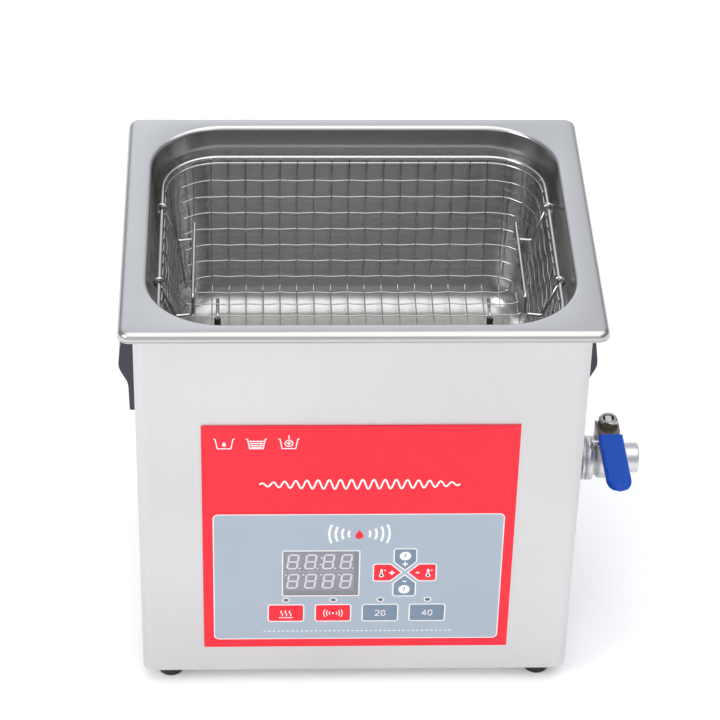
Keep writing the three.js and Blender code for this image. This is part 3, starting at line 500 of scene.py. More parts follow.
# ---------- camera, floor and light ----------
def make_camera():
    """Camera at the viewing angle: turned a little to the right, looking 37 degrees down."""
    azimuth, fall, roll = math.radians(2.785), math.radians(37.382), math.radians(1.535)
    ahead = Vector((math.sin(azimuth) * math.cos(fall), math.cos(azimuth) * math.cos(fall), -math.sin(fall)))
    right = Vector((math.cos(azimuth), -math.sin(azimuth), 0))
    up = right.cross(ahead)
    axis_x = right * math.cos(roll) + up * math.sin(roll)
    axis_y = up * math.cos(roll) - right * math.sin(roll)
    camera = bpy.data.objects.new("camera", bpy.data.cameras.new("camera"))
    bpy.context.scene.collection.objects.link(camera)
    camera.data.sensor_width = 36
    camera.data.lens = 142.47
    camera.data.clip_start, camera.data.clip_end = 0.05, 50
    turn = Matrix((axis_x, axis_y, -ahead)).transposed().to_4x4()
    camera.matrix_world = Matrix.Translation(ORIGIN + Vector((-0.075146, -1.620506, 1.118361))) @ turn
    bpy.context.scene.camera = camera


def make_floor():
    n = Surface("floor_white", Roughness=0.9, Specular_IOR_Level=0.1, Emission_Color=(1, 1, 1, 1),
                Emission_Strength=0.12)
    n.drive(Base_Color=n.blend(n.noise(2.0, 2.0), (0.94, 0.94, 0.94), (0.96, 0.96, 0.96)))
    mesh = bpy.data.meshes.new("floor")
    half = 12.0
    corners = [(-half, -half, 0), (half, -half, 0), (half, half, 0), (-half, half, 0)]
    mesh.from_pydata(corners, [], [(0, 1, 2, 3)])
    mesh.materials.append(n.material)
    floor = bpy.data.objects.new("floor", mesh)
    bpy.context.scene.collection.objects.link(floor)


def make_softbox(name, place_at, aim, size, power):
    light = bpy.data.lights.new(name, "AREA")
    light.size = size
    light.energy = power
    holder = bpy.data.objects.new(name, light)
    bpy.context.scene.collection.objects.link(holder)
    holder.location = place_at
    holder.rotation_mode = "QUATERNION"
    holder.rotation_quaternion = (Vector(aim) - Vector(place_at)).to_track_quat("-Z", "Y")


def make_light():
    """A white room: a cool glow low at the back, dim side walls, and two soft boxes."""
    world = bpy.data.worlds.new("studio")
    bpy.context.scene.world = world
    world.use_nodes = True
    n = Nodes(world.node_tree, "Generated")

    def shades(value, *stops):
        made = n.tree.nodes.new("ShaderNodeValToRGB")
        n.tree.links.new(value, made.inputs["Fac"])
        elements = made.color_ramp.elements
        for element, (position, color) in zip(elements, (stops[0], stops[-1])):
            element.position, element.color = position, (*color, 1)
        for position, color in stops[1:-1]:
            elements.new(position).color = (*color, 1)
        return made.outputs["Color"]

    towards = n.add("ShaderNodeVectorMath", {0: n.coords, 1: BACK_GLOW}, "Value", operation="DOT_PRODUCT")
    glow = shades(towards, (0.0, (0.80, 0.80, 0.80)), (0.90, (0.80, 0.81, 0.84)), (0.965, (0.86, 0.90, 0.99)),
                  (0.985, (1.14, 1.18, 1.30)), (1.0, (1.28, 1.32, 1.42)))
    across = n.math("ABSOLUTE", n.add("ShaderNodeSeparateXYZ", {"Vector": n.coords}, "X"))
    sides = shades(across, (0.42, (1, 1, 1)), (0.62, (0.40, 0.42, 0.47)))
    both = n.add("ShaderNodeMix", {"Factor": 1.0, "A": glow, "B": sides}, "Result", data_type="RGBA",
                 blend_type="MULTIPLY")
    n.tree.links.new(both, n.tree.nodes["Background"].inputs["Color"])
    make_softbox("softbox_left", (-2.2, -1.4, 1.9), (0, 0, 0.2), 1.2, 34)
    make_softbox("softbox_top", (0.5, -0.4, 3.0), (0, 0, 0.1), 4.0, 60)
    view = bpy.context.scene.view_settings
    view.view_transform = "Standard"
    view.look = "None"
    view.exposure = 0.0
    view.gamma = 1.0


BACK_GLOW = (-0.079, 0.903, 0.423)
make_camera()
make_floor()
make_light()

# ---------- tank ----------
RIM = (162.5, 132.5)
RIM_CORNER = 9.0
LIP_DROP = 6.6
MOUTH = (147.0, 121.5)
MOUTH_CORNER = 54.0
MOUTH_FILLET = 3.0
SHOULDER = 22.0
SHOULDER_STEP = 2.2
TANK_DEPTH = 150.0
TAPER = 9.3
FLOOR_FILLET = 22.0
SHEET = 1.0


def tank_skin(grow):
    """Levels of the tank's skin from its floor up to the rim; grow steps back through the sheet."""
    inner = [MOUTH[0], MOUTH[1], MOUTH_CORNER]
    wall = [v - MOUTH_FILLET - SHOULDER_STEP + grow for v in inner]
    levels = []

    def add(out, z):
        levels.append((*(v + out for v in wall), z))

    fillet = FLOOR_FILLET + grow
    for i in range(11):
        angle = i / 10 * math.pi / 2
        add(-TAPER - fillet * (1 - math.sin(angle)), -TANK_DEPTH - grow + fillet * (1 - math.cos(angle)))
    for i in range(9):
        t = i / 8
        add(0.4 * SHOULDER_STEP * (3 * t * t - 2 * t ** 3), -SHOULDER - 3.0 + 6.0 * t)
    fillet = MOUTH_FILLET - grow
    for i in range(7):
        angle = i / 6 * math.pi / 2
        add(SHOULDER_STEP + fillet * (1 - math.cos(angle)), -grow - fillet * (1 - math.sin(angle)))
    return levels


def lip_skin(grow):
    """The rim's rolled edge: a quarter round, a straight drop and a small bead."""
    radius = 4.6 - grow
    levels = []
    for i in range(9):
        angle = i / 8 * math.pi / 2
        inset = 0.35 + 4.6 - radius * math.sin(angle)
        levels.append((inset, -grow - radius * (1 - math.cos(angle))))
    levels.append((0.35 + grow, -5.2))
    if grow == 0:
        levels += [(0.12, -5.6), (0.0, -6.0), (0.1, -6.4), (0.4, -LIP_DROP)]
    return [(RIM[0] - i, RIM[1] - i, RIM_CORNER - i, z) for i, z in levels]


def make_tank():
    inside = tank_skin(0) + lip_skin(0)
    outside = list(reversed(tank_skin(SHEET) + lip_skin(SHEET)))
    form = loft([level(*l, steps=18) for l in inside + outside])
    drain = middle("drain_fitting")
    hole = rod("z", 10.5, -TANK_DEPTH - 5, -TANK_DEPTH + 5, (drain.x, drain.y))
    piece("tank_pan", form, TANK_STEEL, MACHINE, "tank", sharp=50, tools=[hole])


make_tank()

# ---------- casing ----------
CASE = (152.7, 121.9)
CASE_CORNER = 8.0
CASE_TOP = -SHEET - 0.3
CASE_BOTTOM = span("casing")[0].z
CASE_FOLD = 2.0
FLANGE = 26.0


def make_casing():
    """Sheet sleeve with a rounded edge where it turns in at the bottom."""
    def ring(inset, corner, z):
        return level(CASE[0] - inset, CASE[1] - inset, corner, z, 10)

    rings = []
    for i in range(6):
        angle = i / 5 * math.pi / 2
        inset = CASE_FOLD * (1 - math.sin(angle))
        rings.append(ring(inset, CASE_CORNER - inset, CASE_BOTTOM + CASE_FOLD * (1 - math.cos(angle))))
    rings.append(ring(0, CASE_CORNER, CASE_TOP))
    for z in (CASE_TOP, CASE_BOTTOM + SHEET):
        rings.append(ring(SHEET, CASE_CORNER - SHEET, z))
    for z in (CASE_BOTTOM + SHEET, CASE_BOTTOM):
        rings.append(ring(FLANGE, 6.0, z))

    def window(node, half_x, half_z):
        at_x, _, at_z = middle(node)
        return block(at_x - half_x, at_x + half_x, CASE[1] - 5, CASE[1] + 5, at_z - half_z, at_z + half_z)

    fan, drain = middle("fan_guard"), middle("valve_washer")
    tools = [rod("y", 37, CASE[1] - 5, CASE[1] + 5, (fan.z, fan.x)), window("power_inlet", 14.5, 14),
             window("switch_housing", 14.5, 10.5),
             rod("x", 10.65, CASE[0] - 5, CASE[0] + 5, (drain.y, drain.z)),
             block(-65, 65, -CASE[1] - 5, -CASE[1] + 5, -264, -191)]
    for x in (-CASE[0], CASE[0]):
        tools.append(block(x - 5, x + 5, -53.5, 53.5, -116.8, -48))
    piece("casing_sleeve", loft(rings, looped=True), CASE_STEEL, MACHINE, "casing", sharp=35,
          tools=tools)


make_casing()

# ---------- feet ----------
for corner_name in CORNERS:
    z = span("foot_" + corner_name)[0].z
    foot = lathe([(0.01, z + 2.6), (3.0, z + 2.6), (3.4, z + 2.2), (3.4, z + 0.4), (3.8, z), (8.0, z),
                  (8.9, z + 0.35), (9.3, z + 1.4), (9.5, z + 9.4), (9.2, z + 10.6), (8.4, z + 11.6),
                  (0.01, z + 11.6)], "z", middle("foot_" + corner_name).xy)
    piece("rubber_foot_" + corner_name, foot, RUBBER, MACHINE, "foot_" + corner_name)

# ---------- control panel ----------
LABEL_LOW, LABEL_HIGH = span("control_label")
FACE = -LABEL_LOW.y
INK = 0.05


def upright(form, out=0.0):
    """Stands a sheet drawn in XY on the label's face; its thickness comes towards the front."""
    return form.mapped(lambda p: Vector((p.x, -FACE - out - p.z, p.y)))


def at(outline, x, y):
    return [(px + x, py + y) for px, py in outline]


def house(half, tip, reach, radius, quarter):
    """A key that points at the cross's middle, with two rounded corners, turned by quarters."""
    shoulder = tip + half
    top = arc(radius, 0, 90, 3, half - radius, reach - radius)
    right = [(0.495, tip + 0.55), (half - 0.44, shoulder - 0.55), (half, shoulder + 0.66)]
    outline = [(0, tip + 0.12)] + right + top + [(-x, y) for x, y in reversed(right + top)]
    for _ in range(quarter):
        outline = [(-y, x) for x, y in outline]
    return at(outline, *CROSS)


CROSS = (33.2, -215.4)
KEY_PITCH = 33.4
KEY_ROW = -253.3
KEY_HALF = (12.1, 7.4)
LAMP_ROW = -240.9
KEY_OUT = 0.3
KEY_BACK = -1.6
LAMP_X = [(i - 1.5) * KEY_PITCH for i in range(4)]


def cross_key(quarter):
    return lambda grow: house(7.4 + grow, 2.8 - grow * 1.414, 21.6 + grow, 1.3 + grow, quarter)


def row_key(x):
    return lambda grow: at(rounded(KEY_HALF[0] + grow, KEY_HALF[1] + grow, 1.2 + grow, 5), x, KEY_ROW)


KEY_SHAPES = {}
for index, name in enumerate(("clock_plus", "heat_plus", "clock_minus", "heat_minus")):
    KEY_SHAPES[name] = cross_key(index)
for lamp_x, name in zip(LAMP_X, ("heating", "ultrasonic", "mode_low", "mode_high")):
    KEY_SHAPES[name] = row_key(lamp_x)
RED_KEYS = ("heat_plus", "heat_minus", "heating", "ultrasonic")
DISPLAY_MIDDLE = middle("display_module")
DISPLAY_HALF = (26.5, 20.55)


def display_outline(grow):
    outline = rounded(DISPLAY_HALF[0] + grow, DISPLAY_HALF[1] + grow, 0.5 + grow, 3)
    return at(outline, DISPLAY_MIDDLE.x, DISPLAY_MIDDLE.z)


def print_on(name, sheets, material, body=MACHINE, out=0.0, node=None):
    """Thin printed or moulded sheets in one piece, standing on the label's face."""
    form = Form()
    for sheet in sheets:
        form.add(sheet)
    return piece(name, upright(form, out), material, body, node, sharp=30)


def make_label():
    """Red film with a grey-blue field, white frames and lines, each its own thin layer of ink."""
    half_x, half_z = (LABEL_HIGH.x - LABEL_LOW.x) / 2, (LABEL_HIGH.z - LABEL_LOW.z) / 2
    outer = at(rounded(half_x, half_z, 0.8, 4), 0, (LABEL_LOW.z + LABEL_HIGH.z) / 2)
    lamps = [circle(1.55, 24, x, LAMP_ROW, 1.25) for x in LAMP_X]
    holes = [shape(0.06) for shape in KEY_SHAPES.values()] + [display_outline(0.02)] + lamps
    thickness = LABEL_HIGH.y - LABEL_LOW.y
    field, frame_line = (at(rounded(100.5 + w, 57.75 + w, 3.2 + w, 8), 0, -219.75) for w in (0, 0.7))
    print_on("label_sheet", [filled([outer] + holes, thickness)], RED, out=-thickness, node="control_label")
    print_on("label_field", [filled([field] + holes, INK)], PANEL)
    raised = [[shape(0.95), shape(0.06)] for shape in KEY_SHAPES.values()]
    raised.append([display_outline(0.85), display_outline(0.02)])
    raised += [[circle(2.25, 28, x, LAMP_ROW, 1.22), lamp] for x, lamp in zip(LAMP_X, lamps)]
    frames = [filled([frame_line, field], INK)] + [filled(loops, INK * 1.5) for loops in raised]
    print_on("label_frames", frames, WHITE)


def tub(x, y):
    """A small tub in outline, 14 mm across its lips."""
    half, low = 4.6, -4.2
    line = [(-7.2, 4.2), (-6.0, 4.0), (-half, low), (half, low), (6.0, 4.0), (7.2, 4.2)]
    return [at(loop, x, y) for loop in stroke(line, 0.75)]


def drop(size, x, y):
    """A drop standing on its round end."""
    return at([(0, 1.55 * size)] + arc(size * 0.8, 30, -210, 12), x, y)


def wave_line(x0, x1, y, height, periods, width, steps=12, fade=0.0):
    points = []
    count = int(periods * steps)
    for i in range(count + 1):
        t = i / count
        tall = height * (1 - fade * abs(2 * t - 1) ** 3)
        points.append((x0 + (x1 - x0) * t, y + tall * math.sin(t * periods * math.tau)))
    return stroke(points, width)


def arcs(radii, spread, width, x, y):
    """Pairs of arcs that face each other round a point."""
    return [stroke(arc(radius, facing - spread, facing + spread, 10, x, y), width)
            for radius in radii for facing in (0, 180)]


def make_symbols():
    """Generic signs in white: three tubs, a wave train, a drop between sound arcs and a rule."""
    shapes = []
    tubs = (-92.8, -70.9, -48.9)
    for x in tubs:
        shapes.append(tub(x, -98.5))
    shapes.append([drop(1.75, tubs[0], -99.4)])
    for i in range(4):
        y = -96.3 - i * 1.75
        wide = 5.0 - i * 0.35
        if i < 2:
            shapes.append(stroke([(tubs[1] - wide, y), (tubs[1] + wide, y)], 0.75))
        else:
            shapes.append(wave_line(tubs[1] - wide, tubs[1] + wide, y, 0.35, 2.5, 0.75))
    shapes.append(stroke(at(circle(2.7, 24), tubs[2], -98.2), 0.7, closed=True))
    shapes.append(stroke([(tubs[2], -91.2), (tubs[2], -99.0)], 0.7))
    shapes.append(stroke([(tubs[2] - 1.5, -97.4), (tubs[2], -99.4), (tubs[2] + 1.5, -97.4)], 0.7))
    shapes.append(wave_line(-68.9, 68.9, -134.5, 4.1, 18, 1.25, 16, 0.75))
    shapes += arcs((7.5, 12.0, 16.5, 21.0), 24, 1.7, 0.6, -179.4)
    for i in range(41):
        x = -66 + i * 3.3
        shapes.append(stroke([(x, -270.6), (x + 1.9, -270.6)], 0.7))
    print_on("label_signs", [filled(loops, INK * 1.5) for loops in shapes], WHITE, out=0.01)
    print_on("label_drop", [filled([drop(3.6, 0.6, -181.2)], INK * 1.5)], KEY_RED, out=0.01)


def numeral(digit, w, h, line):
    """A plain open-stroke numeral, in a box that starts at the origin."""
    r = w / 2

    def loop(y, wide, tall, steps):
        return stroke(arc(tall, 0, 345, steps, r, y, wide / tall), line, closed=True)

    if digit == "0":
        return [loop(h / 2, r, h / 2, 24)]
    if digit == "2":
        return [stroke(arc(r, 160, -35, 12, r, h - r) + [(0, 0), (w, 0)], line)]
    if digit == "4":
        return [stroke([(w * 0.78, 0), (w * 0.78, h), (0, h * 0.3), (w * 1.05, h * 0.3)], line)]
    top, low = h * 0.23, h * 0.27
    return [loop(h - top, r * 0.86, top, 20), loop(low, r, low, 20)]


def sum_sign(x, y, half, plus):
    """A plus or a minus."""
    strokes = [stroke([(x - half, y), (x + half, y)], 1.1)]
    if plus:
        strokes += [stroke([(x, y + up * 0.55), (x, y + up * half)], 1.1) for up in (-1, 1)]
    return strokes


def key_signs(name):
    """White and dark shapes printed on one key."""
    white, dark = [], []
    plus = name.endswith("plus")
    if name.startswith("clock"):
        up = 1 if plus else -1
        x, y = CROSS[0], CROSS[1] + up * 15.6
        white.append([circle(4.0, 36, x, y)])
        dark.append(stroke([(x + 0.2, y + 2.3), (x + 0.2, y), (x - 1.3, y - 1.1)], 0.55))
        white += sum_sign(x, CROSS[1] + up * 8.1, 1.95 if plus else 1.35, plus)
    if name.startswith("heat_"):
        out = -1 if plus else 1
        x, y = CROSS[0] + out * 16.4, CROSS[1]
        stem = [(0.85, 2.6), (0.6, 3.2), (0, 3.45), (-0.6, 3.2), (-0.85, 2.6)]
        white.append([arc(1.7, -240, 60, 20, x, y - 2.4) + at(stem, x, y)])
        dark.append([circle(0.95, 20, x, y - 2.4)])
        dark.append(stroke([(x, y - 1.7), (x, y + 0.6)], 0.5))
        white.append([circle(0.6, 14, x + 2.5, y + 2.2)])
        white += sum_sign(CROSS[0] + out * 9.0, y, 2.0 if plus else 1.35, plus)
    if name == "heating":
        for x in (LAMP_X[0] - 3, LAMP_X[0], LAMP_X[0] + 3):
            steam = [(x + 0.7 * math.sin(t / 12 * math.tau), KEY_ROW - 2.6 + 5.2 * t / 12) for t in range(13)]
            white.append(stroke(steam, 0.65))
        white.append(stroke([(LAMP_X[0] - 5, KEY_ROW - 4.1), (LAMP_X[0] + 5, KEY_ROW - 4.1)], 0.65))
    if name == "ultrasonic":
        white.append([circle(0.8, 18, LAMP_X[1], KEY_ROW)])
        white += arcs((2.6, 4.6, 6.6), 32, 0.65, LAMP_X[1], KEY_ROW)
    for key, x, digits in (("mode_low", LAMP_X[2], "28"), ("mode_high", LAMP_X[3], "40")):
        for i, digit in enumerate(digits if name == key else ""):
            for loops in numeral(digit, 2.9, 5.0, 0.62):
                white.append([at(loop, x - 3.5 + i * 4.2, KEY_ROW - 2.5) for loop in loops])
    return white, dark


def make_keys():
    steps = [(0.0, KEY_BACK), (0.0, KEY_OUT - 0.22), (-0.07, KEY_OUT - 0.07), (-0.25, KEY_OUT)]
    for name, shape in KEY_SHAPES.items():
        body = "key_" + name
        slot, material = ("key_red", KEY_RED) if name in RED_KEYS else ("key_grey", KEY_GREY)
        form = loft([[Vector((x, y, z)) for x, y in shape(grow)] for grow, z in steps])
        piece("keycap_" + name, upright(form), material, body, body, sharp=60)
        white, dark = key_signs(name)
        print_on("key_signs_" + name, [filled(loops, INK) for loops in white], WHITE, body, KEY_OUT)
        if dark:
            marks = [filled(loops, INK) for loops in dark]
            print_on("key_marks_" + name, marks, DARK, body, KEY_OUT + INK)


def segment(low, high, along, half):
    """A bar with pointed ends, along x."""
    return [(low, along), (low + half, along + half), (high - half, along + half), (high, along),
            (high - half, along - half), (low + half, along - half)]


def seven_segments(x, y):
    """Outlines of the seven bars of one leaning digit; x, y is its lower left corner."""
    half, gap = DIGIT_LINE / 2, 0.14
    rows = (half, DIGIT[1] / 2, DIGIT[1] - half)
    bars = [segment(half + gap, DIGIT[0] - half - gap, row, half) for row in rows]
    for column in (half, DIGIT[0] - half):
        for low, high in zip(rows, rows[1:]):
            bars.append([(b, a) for a, b in segment(low + gap, high - gap, column, half)])
    slope = math.tan(math.radians(7.0))
    return [[(x + px + py * slope, y + py) for px, py in bar] for bar in bars]


DIGIT = (8.1, 13.9)
DIGIT_LINE = 1.35
DIGIT_PITCH = 12.45


def make_display():
    """Two four-digit modules behind a smoked window, their segments unlit."""
    def leaf(outline):
        return prism(outline, 0, 0.03)

    def point(x, y):
        return leaf(circle(0.75, 20, x, y))

    x0 = DISPLAY_MIDDLE.x - DISPLAY_HALF[0]
    first = x0 + 1.9
    front = -span("display_module")[0].y - FACE
    lens = prism(display_outline(0), -3.0, front - 0.1)
    print_on("display_window", [lens], WINDOW, node="display_module")
    top_row = DISPLAY_MIDDLE.z + DISPLAY_HALF[1] - 2.9 - DIGIT[1]
    low_row = top_row - 4.2 - DIGIT[1]
    faces = [leaf(at(rounded(24.6, 9.0, 0.3, 2), x0 + 25.2, row + DIGIT[1] / 2))
             for row in (top_row, low_row)]
    print_on("display_modules", faces, DIGIT_FACE, out=front - 0.1)
    bars = []
    for row in (top_row, low_row):
        for x in (first + i * DIGIT_PITCH for i in range(4)):
            bars += [leaf(bar) for bar in seven_segments(x, row)]
            bars.append(point(x + 9.55, row + 0.8) if row == top_row else point(x - 0.1, row + 12.9))
    for height in (4.4, 10.6):
        bars.append(point(first + 2 * DIGIT_PITCH - 1.2 + height * 0.12, top_row + height))
    print_on("display_segments", bars, SEGMENT, out=front - 0.06)
    line_z = (top_row + low_row + DIGIT[1]) / 2
    divider = block(x0 + 0.6, x0 + 49.8, line_z - 0.35, line_z + 0.35, 0, 0.03)
    print_on("display_divider", [divider], DIVIDER, out=front - 0.06)


def make_lamps():
    for i, x in enumerate(LAMP_X):
        rings = []
        for scale, z in ((1.0, -1.5), (1.0, -0.25), (0.92, -0.08), (0.6, 0.02), (0.2, 0.05)):
            rings.append([Vector((px, py, z)) for px, py in circle(1.5 * scale, 24, x, LAMP_ROW, 1.25)])
        piece(f"lamp_lens_{i + 1}", upright(loft(rings)), LAMP, MACHINE, sharp=70)


make_label()
make_symbols()
make_keys()
make_display()
make_lamps()

# ---------- carrying handles ----------
HANDLE_HALF = 58.0
HANDLE_TOP = -45.0
HANDLE_BOTTOM = -120.3


def handle_profile(x0, inner=False):
    """Cross-section in XZ: a slope out and down, a round nose and a slim skirt below it."""
    if inner:
        return [(x0 - 7.0, HANDLE_TOP - 6), (x0 + 6.6, HANDLE_TOP - 6), (x0 + 10.4, -77), (x0 + 10.4, -82.5),
                (x0 + 20, -85.5), (x0 + 20, HANDLE_BOTTOM + 6.5), (x0 - 7.0, HANDLE_BOTTOM + 6.5)]
    points = [(0, HANDLE_TOP), (7.4, HANDLE_TOP), (8.4, HANDLE_TOP - 0.5), (8.9, HANDLE_TOP - 1.6)]
    for bow in (((12.8, -77.5), (13.4, -82.6), (11.5, -86.4)), ((8.4, -93.0), (6.8, -96.0), (6.6, -100.5))):
        points += curve(*(Vector(p) for p in bow))
    points += [(6.2, HANDLE_BOTTOM + 0.8), (5.6, HANDLE_BOTTOM), (0, HANDLE_BOTTOM)]
    return [(x0 + x, z) for x, z in points]


def make_handle(side):
    x0 = CASE[0] + 0.2

    def stand(points, half):
        return loft([[Vector((x, y, z)) for x, z in points] for y in (-half, half)])

    forms = [stand(handle_profile(x0), HANDLE_HALF), stand(handle_profile(x0, True), 51),
             block(x0 - 9, x0 + 1, -53, 53, HANDLE_BOTTOM + 4, HANDLE_TOP - 3.5)]
    if side == "left":
        forms = [form.mirrored() for form in forms]
    hood, pocket, tub_form = forms
    obj = solid("handle_hood_" + side, hood)
    cut(obj, tub_form, kind="UNION")
    cut(obj, pocket)
    piece(obj.name, obj, HANDLE, MACHINE, "handle_" + side, edge=0.8, sharp=40)


for handle_side in ("left", "right"):
    make_handle(handle_side)

# ---------- drain valve ----------
VALVE = middle("valve_washer")
STEM_X = middle("packing_nut").x
VALVE_END = span("valve_body")[1].x
AT_VALVE = (0.0, VALVE.z)
REST_TURN = 1.2
STRAP_LOW = 30.2


def make_valve_body():
    """Collar of two rings, round middle, smooth outlet, and a flared neck under the stop plate."""
    end = VALVE_END
    collar = lathe([(7.2, 168.3), (15.9, 168.3), (16.4, 168.8), (16.4, 170.0), (16.0, 170.4), (14.6, 170.6),
                    (14.6, 171.0), (16.0, 171.2), (16.45, 171.7), (16.45, 175.6), (16.1, 176.3),
                    (15.2, 176.7), (7.2, 176.7)], "x", AT_VALVE, 72, looped=True)
    piece("valve_collar", collar, VALVE_STEEL, MACHINE, sharp=50)
    body = lathe([(7.2, 176.2), (12.3, 176.2), (12.3, 177.6), (12.9, 178.6), (14.4, 179.8), (15.1, 181.4),
                  (15.2, 184), (15.2, 191), (15.0, 193.4), (14.2, 195.6), (12.6, 197.6), (11.6, 199.2),
                  (11.15, 200.4), (11.15, end - 0.9), (10.9, end - 0.3), (10.3, end), (8.4, end),
                  (7.2, end - 1.4)], "x", AT_VALVE, 72, looped=True)
    piece("valve_barrel", body, VALVE_STEEL, MACHINE, "valve_body", sharp=50)
    z = VALVE.z
    neck = lathe([(4.1, z + 10), (6.9, z + 10), (6.9, z + 14.6), (7.3, z + 16.2), (8.4, z + 18.2),
                  (9.8, z + 20.0), (10.1, z + 21.2), (4.1, z + 21.2)], "z", (STEM_X, 0), 48, looped=True)
    piece("valve_bonnet", neck, VALVE_STEEL, MACHINE, sharp=50)
    ledge = [(-12.4, -8.5), (7, -8.5), (7, 5), (-8, 5), (-8, -3), (-12.4, -3)]
    shelf = prism(at(ledge, STEM_X, 0), z + 20.9, z + 23.2)
    piece("valve_stop_plate", shelf, VALVE_STEEL, MACHINE, edge=0.7, sharp=35,
          tools=[rod("z", 4.1, z + 18, z + 26, (STEM_X, 0))])


def make_valve_head():
    """Packing nut, stem, lever with its stop, and nut, from the stop plate upwards."""
    z = VALVE.z
    centre = (STEM_X, 0)
    about = (STEM_X, 0, 0)
    nut = hexagon("z", 12.4, z + 23.5, z + 29.7, centre)
    piece("packing_hex", nut, LEVER_STEEL, MACHINE, "packing_nut", edge=0.25, sharp=35,
          tools=[rod("z", 4.1, z + 20, z + 32, centre)])
    stem = lathe([(0.01, z + 8.6), (2.6, z + 8.6), (2.6, z + 11), (3.8, z + 11), (3.8, z + 36.5),
                  (3.3, z + 37), (0.01, z + 37)], "z", centre, 40)
    flats = [block(STEM_X + low, STEM_X + low + 3, -5, 5, z + 32.2, z + 40).turned("Z", REST_TURN, about)
             for low in (2.35, -5.35)]
    piece("stem_rod", stem, STEM_STEEL, LEVER, "valve_stem", edge=0.2, sharp=35, tools=flats)
    plate_low = z + STRAP_LOW
    outline = arc(7.8, 0, 180, 20)
    outline += [(-7.8, -9.5), (-5.5, -14), (-5.5, -70), (5.5, -70), (5.5, -14), (7.8, -9.5)]
    strap = prism(at(outline, STEM_X, 0), plate_low, plate_low + 2).turned("Z", REST_TURN, about)
    hole = rod("z", 4.1, plate_low - 1, plate_low + 4, centre)
    piece("lever_strap", strap, LEVER_STEEL, LEVER, "valve_lever", edge=0.35, sharp=35,
          tools=[hole])
    tab = [(-9.2, 4), (-9.2, -10), (-7.6, -10), (-7.6, 4)]
    low_part = prism(at(tab, STEM_X, 0), plate_low - 6.2, plate_low + 2).turned("Z", REST_TURN, about)
    piece("lever_stop", low_part, LEVER_STEEL, LEVER, edge=0.5, sharp=35)
    nut = hexagon("z", 12.4, plate_low + 2.1, plate_low + 7.3, centre, ends=(False, True))
    nut = nut.turned("Z", REST_TURN + 14, about)
    piece("lever_hex", nut, NUT_STEEL, LEVER, "lever_nut", edge=0.3, sharp=35,
          tools=[rod("z", 4.1, plate_low, plate_low + 12, centre)])


SLEEVE_HALF = 9.2


def make_sleeve():
    """Dipped sleeve: a soft rounded paddle, straight at its mouth and round at its tip."""
    low, high, taper_at = 14.4, 75.0, 0.82
    z = VALVE.z + STRAP_LOW + 1.0
    rings = []
    for i in range(25):
        t = i / 24
        swell = math.sqrt(max(1 - (max(t - taper_at, 0) / 0.181) ** 2, 0.004)) ** 0.9
        half_h = 2.5 * (0.35 + 0.65 * swell)
        outline = rounded(SLEEVE_HALF * swell, half_h, half_h * 0.96, 6)
        rings.append([Vector((STEM_X + px, -low - (high - low) * t, z + pz)) for px, pz in outline])
    mouth = block(STEM_X - 5.7, STEM_X + 5.7, -low - 3, -low + 2, z - 1.2, z + 1.2)
    form, mouth = (f.turned("Z", REST_TURN, (STEM_X, 0, 0)) for f in (loft(rings), mouth))
    piece("sleeve_grip", form, SLEEVE, LEVER, "lever_sleeve", sharp=60, tools=[mouth])


def make_wall_fitting():
    washer = lathe([(r, CASE[0] + x) for r, x in ((10.4, 0.2), (16.4, 0.2), (17, 0.7), (17, 1.7), (16.4, 2.2),
                                                  (10.4, 2.2))], "x", AT_VALVE, 64, looped=True)
    piece("seal_ring", washer, RUBBER, MACHINE, "valve_washer", sharp=50)
    nut = hexagon("x", 29, CASE[0] + 2.6, CASE[0] + 11.6, AT_VALVE)
    piece("lock_hex", nut, CAST_STEEL, MACHINE, "valve_lock_nut", edge=0.3, sharp=35,
          tools=[rod("x", 10.45, CASE[0], CASE[0] + 20, AT_VALVE)])


def make_drain():
    drain = middle("drain_fitting")
    floor = -TANK_DEPTH
    flange = lathe([(7.2, floor - 20), (10.2, floor - 20), (10.2, floor + 0.2), (16.6, floor + 0.2),
                    (17, floor + 0.6), (16.6, floor + 1.5), (16.0, floor + 1.8), (8.2, floor + 1.8),
                    (7.2, floor + 1.0)], "z", (drain.x, drain.y), 64, looped=True)
    piece("drain_flange", flange, CAST_STEEL, MACHINE, "drain_fitting", sharp=38)
    bars = Form()
    for i in range(2):
        bar = block(-7.4, 7.4, -0.7, 0.7, floor - 0.8, floor + 0.6)
        bars.add(bar.turned("Z", 45 + 90 * i).moved(drain.x, drain.y, 0))
    piece("drain_strainer", bars, CAST_STEEL, MACHINE, edge=0.2, sharp=35)


make_valve_body()
make_valve_head()
make_sleeve()
make_wall_fitting()
make_drain()

# ---------- basket ----------
BASKET_RIM = (136.8, 109.5, 40.0)
RIM_DEPTH = -20.0
WALL_TOP = -19.0
MESH_TOP = -20.6
MESH_LOW = -122.0
MESH_FLOOR = -130.0
MESH_HALF = (126.9, 100.9)
MESH_FLARE = (8.0, 6.7)
WIRE = 0.52
CRIMP = 0.5
PITCH_X = 12.55
PITCH_Y = 14.5
PITCH_Z = 13.65
FIRST_X = -115.5
FIRST_Z = -38.0
HEIGHTS = [FIRST_Z - PITCH_Z * i for i in range(7)]
STATIONS_X = [FIRST_X + PITCH_X * i for i in range(20)]
STATIONS_Y = [PITCH_Y * (i - 6.5) for i in range(14)]


def basket_wall(z, along_x):
    """Half size along a wall, half size across to it, and the corner, at a height."""
    t = (z - MESH_LOW) / (WALL_TOP - MESH_LOW)
    half_x, half_y = (low + flare * t for low, flare in zip(MESH_HALF, MESH_FLARE))
    return (half_x, half_y, 24 + 14 * t ** 3) if along_x else (half_y, half_x, 24 + 14 * t ** 3)


